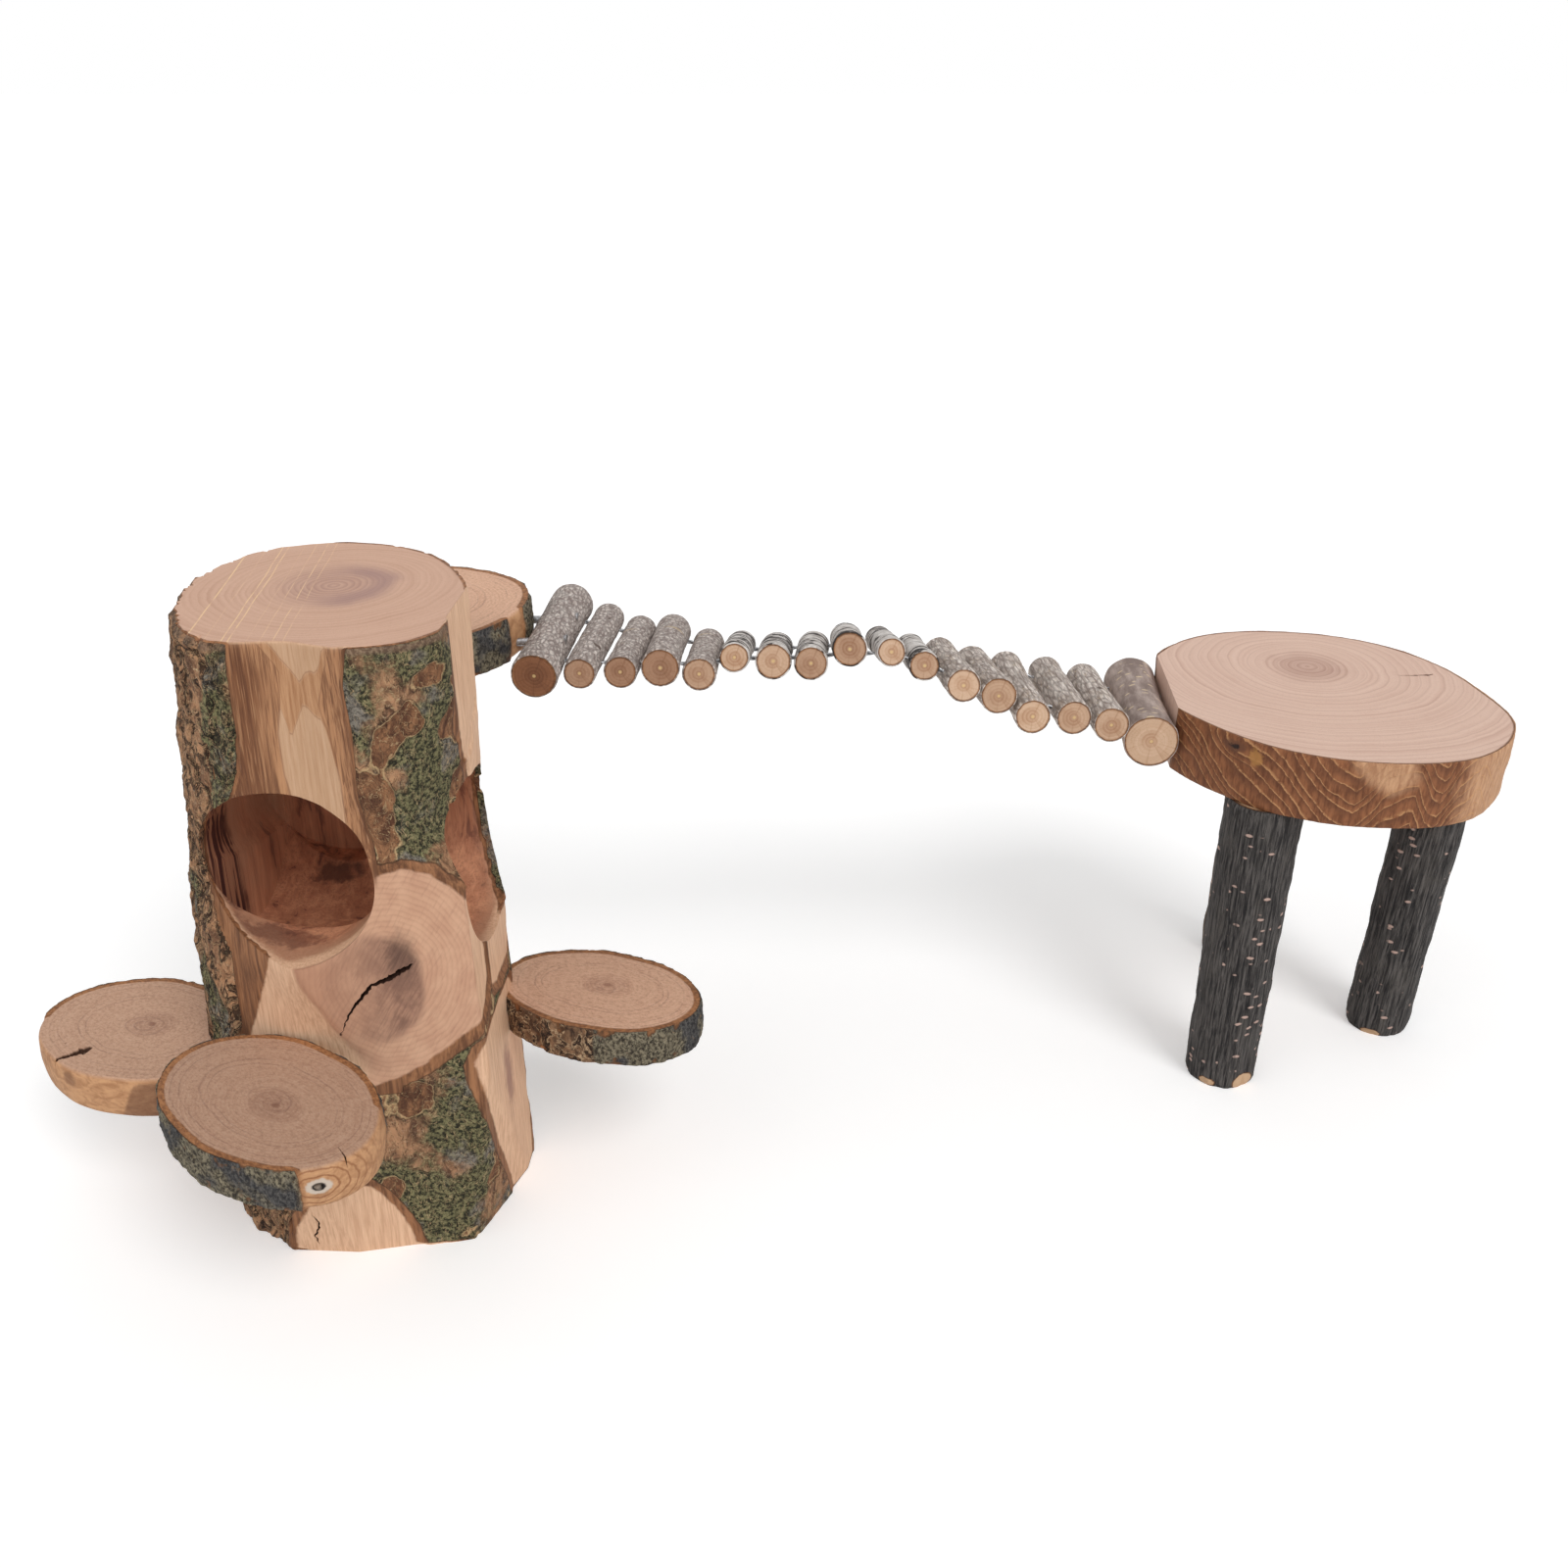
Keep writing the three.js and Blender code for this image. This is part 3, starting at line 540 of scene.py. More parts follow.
def crack_mesh(path, origin, across, up, jag=0.3, seed=0):
    """A jagged wedge to cut a crack with; its path holds places on a flat face, and the width there."""
    path = np.array(path, float)
    runs = np.append(0, np.linalg.norm(np.diff(path[:, :2], axis=0), axis=1).cumsum())
    places = np.arange(0, runs[-1], crack_step)
    along, aside, width = (np.interp(places, runs, path[:, column]) for column in range(3))
    way = np.stack([np.gradient(along), np.gradient(aside)], 1)
    way = way / np.linalg.norm(way, axis=1)[:, None]
    jagged = [noise.noise(Vector((place * 0.6, seed * 7.1, 0))) for place in places]
    wider = [noise.noise(Vector((place * 0.9, seed * 7.1, 5))) for place in places]
    sideways = np.stack([-way[:, 1], way[:, 0]], 1)
    centre = np.stack([along, aside], 1) + sideways * np.array(jagged)[:, None] * jag
    half = sideways * (width * (0.5 + 0.35 * np.array(wider)))[:, None]
    across, up = np.array(across, float), np.array(up, float)
    out = np.cross(across, up)
    points = []
    for flat_place, lift in ((centre - half, 1), (centre + half, 1), (centre, -1)):
        reach = 1.0 if lift > 0 else -np.minimum(crack_reach, width * 5 + 1)[:, None]
        points.append(origin + flat_place[:, :1] * across + flat_place[:, 1:] * up + reach * out)
    points = np.stack(points, 1).reshape(-1, 3)
    faces = [(0, 2, 1), (len(points) - 3, len(points) - 2, len(points) - 1)]
    for start in range(0, len(points) - 3, 3):
        for corner in range(3):
            after = (corner + 1) % 3
            faces.append((start + corner, start + after, start + 3 + after, start + 3 + corner))
    mesh = bpy.data.meshes.new("crack")
    mesh.from_pydata(points.tolist(), [], faces)
    mesh.update()
    shell = bmesh.new()
    shell.from_mesh(mesh)
    bmesh.ops.recalc_face_normals(shell, faces=shell.faces)
    bmesh.ops.triangulate(shell, faces=shell.faces)
    shell.to_mesh(mesh)
    shell.free()
    return mesh


def crack_depth(points, path, origin, across, up):
    """How deep each of some points lies in a crack, in millimetres; 0 beside it."""
    path = np.array(path, float)
    across, up = np.array(across, float), np.array(up, float)
    along, aside = (points - origin) @ across, (points - origin) @ up
    deep = (origin - points) @ np.cross(across, up)
    nearest = np.full(len(points), np.inf)
    for start, end in zip(path[:-1], path[1:]):
        side = end[:2] - start[:2]
        share = np.clip(((along - start[0]) * side[0] + (aside - start[1]) * side[1]) / (side @ side), 0, 1)
        away = np.hypot(along - start[0] - share * side[0], aside - start[1] - share * side[1])
        nearest = np.minimum(nearest, away - (start[2] + (end[2] - start[2]) * share) / 2)
    return np.where((nearest < 0.4) & (deep > 0.03) & (deep < 7), deep, 0)


def points_of(mesh):
    """The points of a mesh as one array."""
    points = np.zeros(len(mesh.vertices) * 3, np.float32)
    mesh.vertices.foreach_get("co", points)
    return points.reshape(-1, 3).astype(float)


def note(mesh, name, values):
    """Writes one number, or one triple, for each vertex of a mesh."""
    kind, field = ("FLOAT_VECTOR", "vector") if values.ndim == 2 else ("FLOAT", "value")
    attribute = mesh.attributes.new(name, kind, "POINT")
    attribute.data.foreach_set(field, values.astype(np.float32).ravel())


def settle(piece, material, body):
    """Turns a piece to metres, gives it its material and puts it on its body in its CAD node's place."""
    piece.data.transform(Matrix.Scale(MM, 4))
    piece.data.materials.clear()
    piece.data.materials.append(material)
    piece.data.shade_smooth()
    piece.data.set_sharp_from_angle(angle=sharp_angle)
    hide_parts(piece.name.removesuffix("_wood"))
    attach(piece, body)


def vector(x=0.0, y=0.0, z=0.0):
    """A place made of three numbers, of which at least one is a signal."""
    tree = next(part for part in (x, y, z) if isinstance(part, Signal)).socket.id_data
    return add_node(tree, "ShaderNodeCombineXYZ", {0: x, 1: y, 2: z})


class Finish:
    """A material; its patterns read the attributes that its piece carries, in millimetres."""

    def __init__(self, name):
        self.material = bpy.data.materials.new(name)
        self.material.use_nodes = True
        self.tree = self.material.node_tree

    def attribute(self, name, output="Fac"):
        return add_node(self.tree, "ShaderNodeAttribute", {}, output, attribute_name=name)

    def object_place(self):
        """The place on the object itself, in millimetres."""
        return add_node(self.tree, "ShaderNodeTexCoord", {}, "Object").stretch(1 / MM, 1 / MM, 1 / MM)

    def close(self, colour, height, roughness, specular=0.25, metallic=0.0):
        """Joins colour, relief in millimetres and roughness to the shader."""
        values = {"Height": height, "Distance": MM, "Strength": 1.0}
        relief = add_node(self.tree, "ShaderNodeBump", values, "Normal")
        join(self.tree.nodes["Principled BSDF"], {
            "Base Color": colour, "Normal": relief, "Roughness": roughness,
            "Specular IOR Level": specular, "Metallic": metallic,
        })
        return self.material


def ring_wood(grain, colours, spacing, heart, pores=1.0):
    """Sawn timber: year rings round the pith in uneven bands, a darker heart, long fibres and fine pores."""
    pale, ring, dark = colours
    wander = grain.stretch(z=0.35)
    wide = wander.uneven(45, 3.2, detail=2)
    ripple = wander.uneven(9, 0.5, detail=3)
    radius = grain.stretch(z=0.0).length() + wide + ripple
    years = vector(radius)
    crowd = years.uneven(22, 2.6, detail=1)
    phase = ((radius + crowd) * (1 / spacing)).maths("FRACT")
    line = phase.rise(0.2, 0.9) & phase.fall(0.9, 1.0)
    strength = wander.noise(26, detail=3).rise(0.35, 0.75)
    bands = years.noise(5, detail=3, rough=0.7).rise(0.42, 0.68)
    tone = (line & strength.blend(0.08, 0.42)).mix(pale, ring)
    tone = (bands & 0.32).mix(tone, ring)
    streaks = grain.stretch(z=0.045).noise(0.9, detail=3, rough=0.7)
    specks = grain.stretch(z=0.12).noise(0.45, detail=2, rough=0.8)
    heart_share = (radius + wander.uneven(14, 5)).fall(heart * 0.45, heart * 1.35)
    heart_share = heart_share & line.blend(0.55, 0.9)
    tone = (heart_share & wander.noise(11).blend(0.35, 1.0)).mix(tone, dark)
    tone = (streaks.rise(0.5, 0.75) & 0.35 * pores).mix(tone, ring)
    tone = (specks.rise(0.6, 0.8) & 0.3 * pores).mix(tone, dark)
    tone = (specks.fall(0.2, 0.42) & 0.25 * pores).mix(tone, pale)
    height = line * -0.03 + streaks * 0.12
    return tone, height, radius


def under_bark(grain, light, dark):
    """The fibrous inner bark that shows where bark is cut through or peeled away."""
    long_fibres = grain.stretch(z=0.06).noise(1.6, rough=0.65)
    patches = grain.stretch(z=0.3).noise(13, detail=3)
    share = long_fibres * 0.75 + patches * 0.4
    tone = share.rise(0.42, 0.72).mix(light, dark)
    return tone, long_fibres * 0.5


def layered(depth, skin, inner, wood, edges):
    """Bark over inner bark over wood, by the depth in millimetres below the bark's face."""
    bark_edge, wood_edge = edges
    bark_share = depth.fall(bark_edge - 0.15, bark_edge + 0.15)
    wood_share = depth.rise(wood_edge - 0.35, wood_edge + 0.35)
    rim = depth.band(bark_edge + 0.1, 0.6)
    tone = wood_share.mix(inner[0], wood[0])
    tone = (rim & 0.7).mix(tone, (70, 48, 32))
    tone = bark_share.mix(tone, skin[0])
    height = wood_share.blend(inner[1], wood[1])
    return tone, bark_share.blend(height, skin[1]), bark_share


def trunk_bark(finish, grain):
    """Rough old bark: brown flakes and cracks, mossy green plates edged with pale ridges and a painted shadow
    just inside them, and lichen.
    """
    cover = finish.attribute("cover")
    moss = finish.attribute("moss")
    rough = finish.attribute("rough")
    fine = grain.noise(1.5, rough=0.75)
    lumps = grain.stretch(z=0.45).noise(4.5, detail=5, rough=0.7, warp=0.8)
    flakes = grain.stretch(z=0.6).noise(7, rough=0.6, warp=1.6)
    brown = lumps.rise(0.34, 0.64).mix((94, 66, 50), (190, 144, 108))
    brown = (fine.rise(0.56, 0.7) & 0.6).mix(brown, (214, 182, 148))
    green = fine.rise(0.42, 0.6).mix((42, 42, 30), (134, 128, 92))
    grey = fine.rise(0.36, 0.64).mix((72, 66, 60), (148, 140, 128))
    green = grain.noise(17, detail=3).rise(0.5, 0.62).mix(green, grey)
    orange = lumps.rise(0.35, 0.66).mix((94, 62, 46), (164, 118, 84))
    orange = (fine.rise(0.55, 0.68) & 0.5).mix(orange, (70, 50, 42))
    mossy = (moss + grain.uneven(7, 0.22, rough=0.7)).rise(0.4, 0.6)
    old = mossy.mix(brown, green)
    edge = cover + grain.uneven(3.5, 0.1, rough=0.7)
    tone = edge.rise(-0.03, 0.03).mix(orange, old)
    contours = (edge * 4.4).maths("PINGPONG", 0.5)
    rings = contours.fall(0.0, 0.16) & edge.fall(-0.1, 0.0)
    tone = (rings & 0.55).mix(tone, (84, 54, 40))
    tone = (rough + grain.uneven(9, 0.2)).rise(0.45, 0.65).mix(tone, old)
    ridge = edge.band(0.0, 0.13) & rough.flip()
    tone = (ridge & 0.9).mix(tone, (210, 176, 132))
    # Painted shadow: a dark band just inside each pale ridge, where the plate's raised edge would cast shade.
    shade = edge.band(0.11, 0.12) & rough.flip()
    tone = (shade & 0.7).mix(tone, (52, 40, 30))
    curls = flakes.band(0.5, 0.045) & rough
    tone = (curls & 0.7).mix(tone, (212, 174, 136))
    clefts = (flakes - 0.56).maths("ABSOLUTE").fall(0.012, 0.05)
    clefts = clefts & rough.blend(0.15, 1.0)
    tone = (clefts & 0.85).mix(tone, (40, 30, 24))
    wrinkles = grain.stretch(z=0.7).noise(6, detail=3, warp=1.5)
    tone = (wrinkles.band(0.555, 0.03) & 0.7).mix(tone, (40, 32, 25))
    tone = (wrinkles.band(0.51, 0.024) & 0.75).mix(tone, (192, 164, 124))
    lichen = grain.noise(1.5, detail=3, rough=0.6).rise(0.7, 0.76)
    tone = (lichen & 0.75).mix(tone, (200, 186, 138))
    taupe = fine.rise(0.4, 0.65).mix((112, 88, 72), (152, 126, 104))
    tone = finish.attribute("rim").mix(tone, taupe)
    height = fine * 0.6 + lumps * 1.1
    height = height + clefts * -1.2
    return tone, height + ridge.either(curls) * 0.5


def flame_wood(finish, grain):
    """The peeled front: cream wood, a tan flame with a thin dark edge, and streaky brown at both sides."""
    tongue = finish.attribute("tongue")
    beside = finish.attribute("beside")
    ragged = tongue + grain.stretch(z=0.4).uneven(3, 0.9, rough=0.6)
    fibres = grain.stretch(z=0.04).noise(1.2, rough=0.7)
    threads = grain.stretch(z=0.03).noise(0.8, detail=2, rough=0.8)
    tan = fibres.rise(0.36, 0.66).mix((196, 150, 112), (164, 116, 80))
    cream = fibres.rise(0.3, 0.7).mix((206, 168, 136), (192, 152, 118))
    cream = (threads.rise(0.5, 0.64) & 0.35).mix(cream, (174, 130, 96))
    tone = ragged.rise(-0.9, 1.5).mix(cream, tan)
    tone = (ragged.band(0, 0.9) & 0.45).mix(tone, (138, 94, 68))
    edge = beside + grain.stretch(z=0.15).uneven(5, 0.7)
    deep = (edge + grain.stretch(z=0.06).uneven(3, 1.6)).rise(0.2, 11)
    brown = deep.mix((186, 136, 98), (128, 84, 56))
    brown = (fibres.rise(0.46, 0.62) & 0.5).mix(brown, (104, 66, 44))
    brown = (threads.rise(0.5, 0.6) & 0.55).mix(brown, (92, 56, 38))
    brown = (threads.fall(0.36, 0.46) & 0.4).mix(brown, (200, 152, 112))
    tone = edge.rise(-0.9, 0.9).mix(tone, brown)
    tone = (edge.band(0.1, 0.9) & 0.4).mix(tone, (110, 70, 50))
    return tone, fibres * 0.3


def trunk_wood(finish, grain):
    """The trunk's timber: pale sapwood, a red heart and painted shade in the doorways, saw lines, and the
    branch's rings with painted shade at their left.
    """
    colours = ((214, 174, 150), (184, 140, 116), (164, 126, 116))
    tone, height, radius = ring_wood(grain, colours, 2.3, 22)
    side_x, side_y, side_z = grain.parts()
    across = side_x + side_y * saw_slant
    on_top = side_z.rise(trunk_height - 0.6, trunk_height - 0.1)
    fibres = grain.stretch(z=0.05).noise(1.1, rough=0.7)
    side_tone = fibres.rise(0.34, 0.7).mix((236, 196, 162), (208, 164, 132))
    low_knot = grain.moved((-52, 22, -56)).stretch(z=0.4).length()
    low_knot = (low_knot + grain.uneven(5, 3)).fall(2, 9)
    side_tone = (low_knot & 0.7).mix(side_tone, (140, 96, 88))
    tone = on_top.mix(side_tone, tone)
    arc = side_x.rise(-8, 10) & (radius + grain.uneven(16, 4)).band(17, 17)
    tone = (arc & on_top & 0.6).mix(tone, (156, 122, 118))
    fade = grain.noise(12, detail=3).rise(0.3, 0.55)
    for offset, width, strength in saw_lines:
        mark = (across + grain.uneven(30, 0.5, detail=1)).band(offset, width)
        mark = mark & on_top & fade * strength
        tone = mark.mix(tone, (240, 204, 160))
    scar = finish.attribute("scar", "Vector")
    scar_x, scar_z, scar_deep = scar.parts()
    plane = scar.stretch(z=0.0)
    reach = plane.length() + plane.uneven(20, 2.2)
    branch = reach.fall(40, 56) & scar_deep.fall(0.5, 2)
    years = ((reach + plane.uneven(6, 0.25)) * 0.55).maths("FRACT")
    year = years.rise(0.3, 0.85) & years.fall(0.85, 1.0)
    patchy = plane.noise(9, rough=0.6)
    pale = patchy.rise(0.3, 0.7).mix((216, 172, 142), (202, 156, 128))
    # Painted shade: the branch scar darkens towards its left, where shade falls beside the front step.
    pale = (scar_x.fall(-42, 6) & 0.65).mix(pale, (174, 124, 98))
    pale = (year & patchy.blend(0.0, 0.45)).mix(pale, (170, 124, 100))
    slanted = scar_x * 0.8 + scar_z * -0.6
    upright = scar_x * 0.06 + scar_z * 0.08
    drag = vector(slanted, upright).noise(0.9, detail=3)
    pale = (drag.rise(0.5, 0.7) & 0.22).mix(pale, (160, 116, 96))
    core = plane.moved((7, 5, 0)).length()
    core = (core + plane.uneven(9, 3)).fall(16, 20)
    core = core & scar_x.rise(-18, 2).blend(0.3, 1.0)
    core_tone = patchy.rise(0.36, 0.62).mix((170, 128, 106), (128, 94, 80))
    core_tone = (drag.rise(0.45, 0.6) & 0.5).mix(core_tone, (112, 82, 70))
    pale = (core & 0.85).mix(pale, core_tone)
    smear = plane.moved((-4, -5, 0)).stretch(0.6, 0.42).length()
    smear = (smear + plane.uneven(5, 2)).fall(1, 5)
    pale = (smear & drag.blend(0.3, 1.0)).mix(pale, (84, 62, 54))
    tone = branch.mix(tone, pale)
    inside = finish.attribute("inside")
    hollow = grain.stretch(z=0.12).noise(7, detail=5, rough=0.6, warp=0.6)
    fibre = grain.stretch(z=0.05).noise(1, detail=3, rough=0.7)
    red = hollow.rise(0.34, 0.6).mix((214, 152, 116), (180, 120, 90))
    red = (fibre.rise(0.45, 0.65) & 0.4).mix(red, (126, 74, 56))
    red = (hollow.rise(0.6, 0.66) & 0.75).mix(red, (90, 48, 42))
    back_knot = grain.moved((17, -14, -129.5)).stretch(0.42, 0.6, 0.9).length()
    back_knot = (back_knot + grain.uneven(5, 4.5, rough=0.6)).fall(2, 5.5)
    red = (back_knot & 0.85).mix(red, (66, 32, 30))
    heartwood = (radius + grain.uneven(14, 6)).fall(40, 52) & inside
    # Painted shade: every wall inside the doorways is darkened and reddened, partly as heartwood colour and
    # partly as the shade that falls in them.
    tone = (inside & 0.7).mix(tone, (156, 102, 75))
    tone = (heartwood & 0.85).mix(tone, red)
    near_wall = grain.moved((47, 27, 0)).stretch(z=0.0).length()
    near_wall = (near_wall + grain.uneven(9, 3)).fall(9, 17)
    near_wall = near_wall & inside
    arcs = grain.stretch(z=0.035).noise(2.6, detail=3, rough=0.6, warp=0.4)
    tone = (near_wall & 0.5).mix(tone, (128, 78, 56))
    tone = (near_wall & arcs.rise(0.46, 0.54)).mix(tone, (66, 34, 30))
    floor_mark = grain.moved((22, 43, 0)).stretch(0.32, 0.8, 0.0).length()
    floor_mark = (floor_mark + grain.uneven(6, 5, rough=0.6)).fall(3, 6)
    tone = (floor_mark & inside & 0.55).mix(tone, (86, 48, 42))
    return finish.attribute("crack").rise(0.08, 0.5).mix(tone, (58, 38, 30)), height


trunk_sides = 340
trunk_tiers = 210
angles, heights = round_grid(trunk_sides, trunk_tiers, trunk_height)
natural = trunk_radius(angles, heights)
skin_points = placed_round(trunk_axis(heights), angles, natural, heights)
# Brown knots (strength above 0) and plates (below 0) of the bark: azimuth, height, reach, strength
bare_spots = [
    (-42.8, 238, 6.5, 1.1), (-56.7, 249, 4.5, 0.9), (-51, 226, 4, 0.9), (-57.4, 217, 7.5, 1.1),
    (-48, 221, 4, 0.9), (-36.5, 216, 4.5, 0.8), (-44, 213, 4, 0.7), (-65.8, 199, 6.5, 1.1),
    (-64.5, 188, 6, 1), (-62, 180, 6, 1), (-60.8, 196, 3.5, 0.9), (-38.2, 24, 8, 1), (-36, 36, 6, 0.9),
    (-61, 74, 5, 0.8), (-66, 68, 5, 0.8), (-75, 30, 5, 0.9), (-66, 190, 7, 0.9), (-60, 240, 10, -0.9),
    (-43, 231, 7, -0.8), (-46, 203, 13, -0.9), (-45, 186, 9, -0.9), (-52, 70, 12, -0.7),
    (-48, 45, 12, -0.7), (-55, 18, 12, -0.7), (-66, 50, 10, -0.6),
]
# Places with more moss, in the same order
moss_spots = [
    (-114, 240, 6, 0.8), (-115, 222, 8, 1), (-117, 203, 10, 1), (-157, 142, 8, 0.8), (-155, 112, 9, 0.8),
    (-142, 104, 7, 0.7), (-150, 86, 10, 0.8),
]


def bark_fields(points):
    """Where the trunk's bark has outer plates, moss and coarse flakes, for points in millimetres."""
    angle = np.arctan2(points[..., 1] - 2, points[..., 0] - 1)
    azimuth = np.degrees(angle)
    height = points[..., 2]
    rough = rough_share(angle)
    cover = 0.9 * fuzz(points, 22, 1, 5) + 0.3
    moss = 0.66 + 0.5 * fuzz(points, 30, 2, 3) - 0.6 * rough
    for spots, field, sign, upright_share in ((bare_spots, cover, -1, 1), (moss_spots, moss, 1, 0.5)):
        for spot_azimuth, spot_height, reach, strength in spots:
            sideways = turned(np.radians(azimuth - spot_azimuth)) * bark_radius
            away = np.hypot(sideways, (height - spot_height) * upright_share) / reach
            field += sign * strength * np.exp(-(away**2))
    return cover, moss, rough


cover, moss, rough = bark_fields(skin_points)
plates = (ease(cover, -0.06, 0.06) - 1) * (1 - rough)
flakes = fuzz(skin_points, 7, 3, 5, stretch=1.7)
fissures = np.abs(fuzz(skin_points, 12, 4, 4, stretch=2.4))
coarse = bark_relief["flake"] * flakes - bark_relief["fissure"] * (1 - ease(fissures, 0, 0.14))
relief = bark_relief["plate"] * plates + rough * coarse + bark_relief["fine"] * flakes
peel = peel_depth(angles, heights)
fluting = bark_relief["fluting"] * fuzz(skin_points, 5, 5, 3, stretch=14)
worn_behind = ease(np.abs(turned(angles)), *np.radians(worn_top["behind"]))
worn_rim = worn_top["front"] + worn_top["more_behind"] * worn_behind
relief = relief - worn_rim * ease(heights, trunk_height - worn_top["reach"], trunk_height)
skin = np.where(peel > 0.5, natural - peel + fluting, natural + bark_ridge(angles, heights) + relief)
bare = ease(bare_distance(np.degrees(angles), heights), -inner_bark_width, 0)
over_flat = bark_relief["over_flat"] + 0.8 * relief
sawn = flat_distance(angles, heights) + (1 - bare) * ease(peel, 1, 0) * over_flat
skin = np.minimum(skin, sawn)
trunk_rings = placed_round(trunk_axis(heights), angles, skin, heights)
trunk = place_piece("trunk_house_wood", round_mesh("trunk_house_wood", trunk_rings))
trunk_blank = trunk.data.copy()
front_start = (front_bore["x"], -bore_outside, front_bore["z"])
front_end = (front_bore["x"], front_bore["back_y"], front_bore["z"])
carve(trunk, bore_mesh(front_bore["radius"], front_start, front_end))
side_turn = math.radians(side_bore["azimuth"])
side_start = (
    -math.cos(side_turn) * side_bore["depth"],
    side_bore["y"] - math.sin(side_turn) * side_bore["depth"],
    side_bore["z"],
)
side_end = (
    math.cos(side_turn) * bore_outside,
    side_bore["y"] + math.sin(side_turn) * bore_outside,
    side_bore["z"],
)
carve(trunk, bore_mesh(side_bore["radius"], side_start, side_end))

# Middle of the branch scar along its flat and up, and its height as a share of its width
scar_centre = (14.3, 126.8)
scar_tall_share = 1.25
# Cracks in the two front flats, as places along the flat and up, and the width there
flat_cracks = [
    (0, [(-6.6, 102.5, 0.2), (-4.4, 107.5, 0.6), (-2.8, 110.9, 0.9), (0, 114.9, 1.3), (4.2, 119.8, 1.9),
         (6.4, 122.6, 1.5), (10.4, 123.8, 2.3), (15.6, 126.2, 2.6), (19.8, 128.7, 2.2), (22, 130, 0.4)]),
    (2, [(-14.5, 19.6, 0.3), (-12.3, 15.5, 1.0), (-13.2, 11.5, 0.9), (-15, 8, 1.0), (-14, 3.4, 0.4)]),
]
cracked = []
for number, (flat_index, path) in enumerate(flat_cracks):
    azimuth, elevation, distance, level = trunk_flats[flat_index]
    facing, rise = math.radians(azimuth), math.radians(elevation)
    on_flat = np.array([math.cos(facing) * distance, math.sin(facing) * distance, level])
    across = np.array([-math.sin(facing), math.cos(facing), 0])
    up = np.array([-math.sin(rise) * math.cos(facing), -math.sin(rise) * math.sin(facing), math.cos(rise)])
    lowered = [(along, (height - level) / math.cos(rise), width) for along, height, width in path]
    carve(trunk, crack_mesh(lowered, on_flat, across, up, jag=0.6, seed=number))
    cracked.append((lowered, on_flat, across, up))

trunk_points = points_of(trunk.data)
point_axis = trunk_axis(trunk_points[:, 2])
point_x, point_y = trunk_points[:, 0] - point_axis[0], trunk_points[:, 1] - point_axis[1]
point_angle = np.arctan2(point_y, point_x)
point_reach = np.hypot(point_x, point_y)
point_azimuth, point_height = np.degrees(point_angle), trunk_points[:, 2]
below_top = trunk_height - point_height
natural = trunk_radius(point_angle, point_height)
within = np.minimum(natural, flat_distance(point_angle, point_height)) - point_reach
within = within - peel_depth(point_angle, point_height)
# Where the doorways' walls are; the wood's material darkens them there with painted shade and the red heart.
note(trunk.data, "inside", ease(within, 1.2, 4.5) * ease(below_top, 0.1, 1))
# On the outside the bare zones and the strip say what shows; in the doorways and on top the true depth does
bare_inside = bare_distance(point_azimuth, point_height)
strip_inside = strip_distance(point_azimuth, point_height)
shown = np.maximum(bare_inside / inner_bark_width * 2.3 + 3.6, -1)
bare_strip = np.clip(1.3 + strip_inside * 2, -1, 2.5 + 3 * ease(point_height, 150, 190))
outside = (1 - ease(within, 1.6, 3)) * ease(below_top, 0.4, 1.4) * ease(point_height, 0.2, 1)
true_depth = natural - point_reach + (1 - ease(below_top, 0.1, 1.2)) * 1.5
depth = np.maximum(shown, bare_strip) * outside + true_depth * (1 - outside)
note(trunk.data, "depth", depth)
note(trunk.data, "rim", outside * (1 - ease(below_top, 2, 3.4)) * (1 - ease(depth, 1.2, 2)))
note(trunk.data, "crack", np.max([crack_depth(trunk_points, *crack) for crack in cracked], 0))
pith_share = point_height / trunk_height
grain = trunk_points.copy()
grain[:, 0] -= pith_foot[0] + (pith_head[0] - pith_foot[0]) * pith_share
grain[:, 1] -= pith_foot[1] + (pith_head[1] - pith_foot[1]) * pith_share
note(trunk.data, "grain", grain)
scar_facing = math.radians(trunk_flats[0][0])
scar_along = trunk_points @ np.array([-math.sin(scar_facing), math.cos(scar_facing), 0]) - scar_centre[0]
scar_deep = trunk_flats[0][2] - trunk_points @ np.array([math.cos(scar_facing), math.sin(scar_facing), 0])
scar_up = (point_height - scar_centre[1]) / scar_tall_share
note(trunk.data, "scar", np.stack([scar_along, scar_up, scar_deep], 1))
flame_low, flame_high = (np.interp(point_azimuth, *np.array(flame_edge)[:, [0, side]].T) for side in (1, 2))
flame = np.minimum(point_height - flame_low, flame_high - point_height)
note(trunk.data, "tongue", flame)
side_heights, side_left, side_right = np.array(flame_sides).T
beside_left = np.interp(point_height, side_heights, side_left) - point_azimuth
beside_right = point_azimuth - np.interp(point_height, side_heights, side_right)
note(trunk.data, "beside", np.maximum(beside_left, beside_right))
note(trunk.data, "strip", ease(strip_inside, 0, 1) * ease(point_height, 160, 170) * outside)
for field, values in zip(("cover", "moss", "rough"), bark_fields(trunk_points)):
    note(trunk.data, field, values)

trunk_finish = Finish("trunk_timber_and_bark")
grain_place = trunk_finish.attribute("grain", "Vector")
bark = trunk_bark(trunk_finish, grain_place)
inner = under_bark(grain_place, (166, 116, 80), (104, 68, 46))
wood = trunk_wood(trunk_finish, grain_place)
front_wood = flame_wood(trunk_finish, grain_place)
strip_share = trunk_finish.attribute("strip")
wood = [strip_share.mix(wood[0], front_wood[0]), strip_share.blend(wood[1], front_wood[1])]
ragged = grain_place.uneven(5, 0.5, rough=0.65)
depth = trunk_finish.attribute("depth") + ragged
tone, height, bark_share = layered(depth, bark, inner, wood, (1.3, 3.6))
roughness = bark_share.blend(0.62, 0.92)
trunk_material = trunk_finish.close(tone, height, roughness)
settle(trunk, trunk_material, "house")

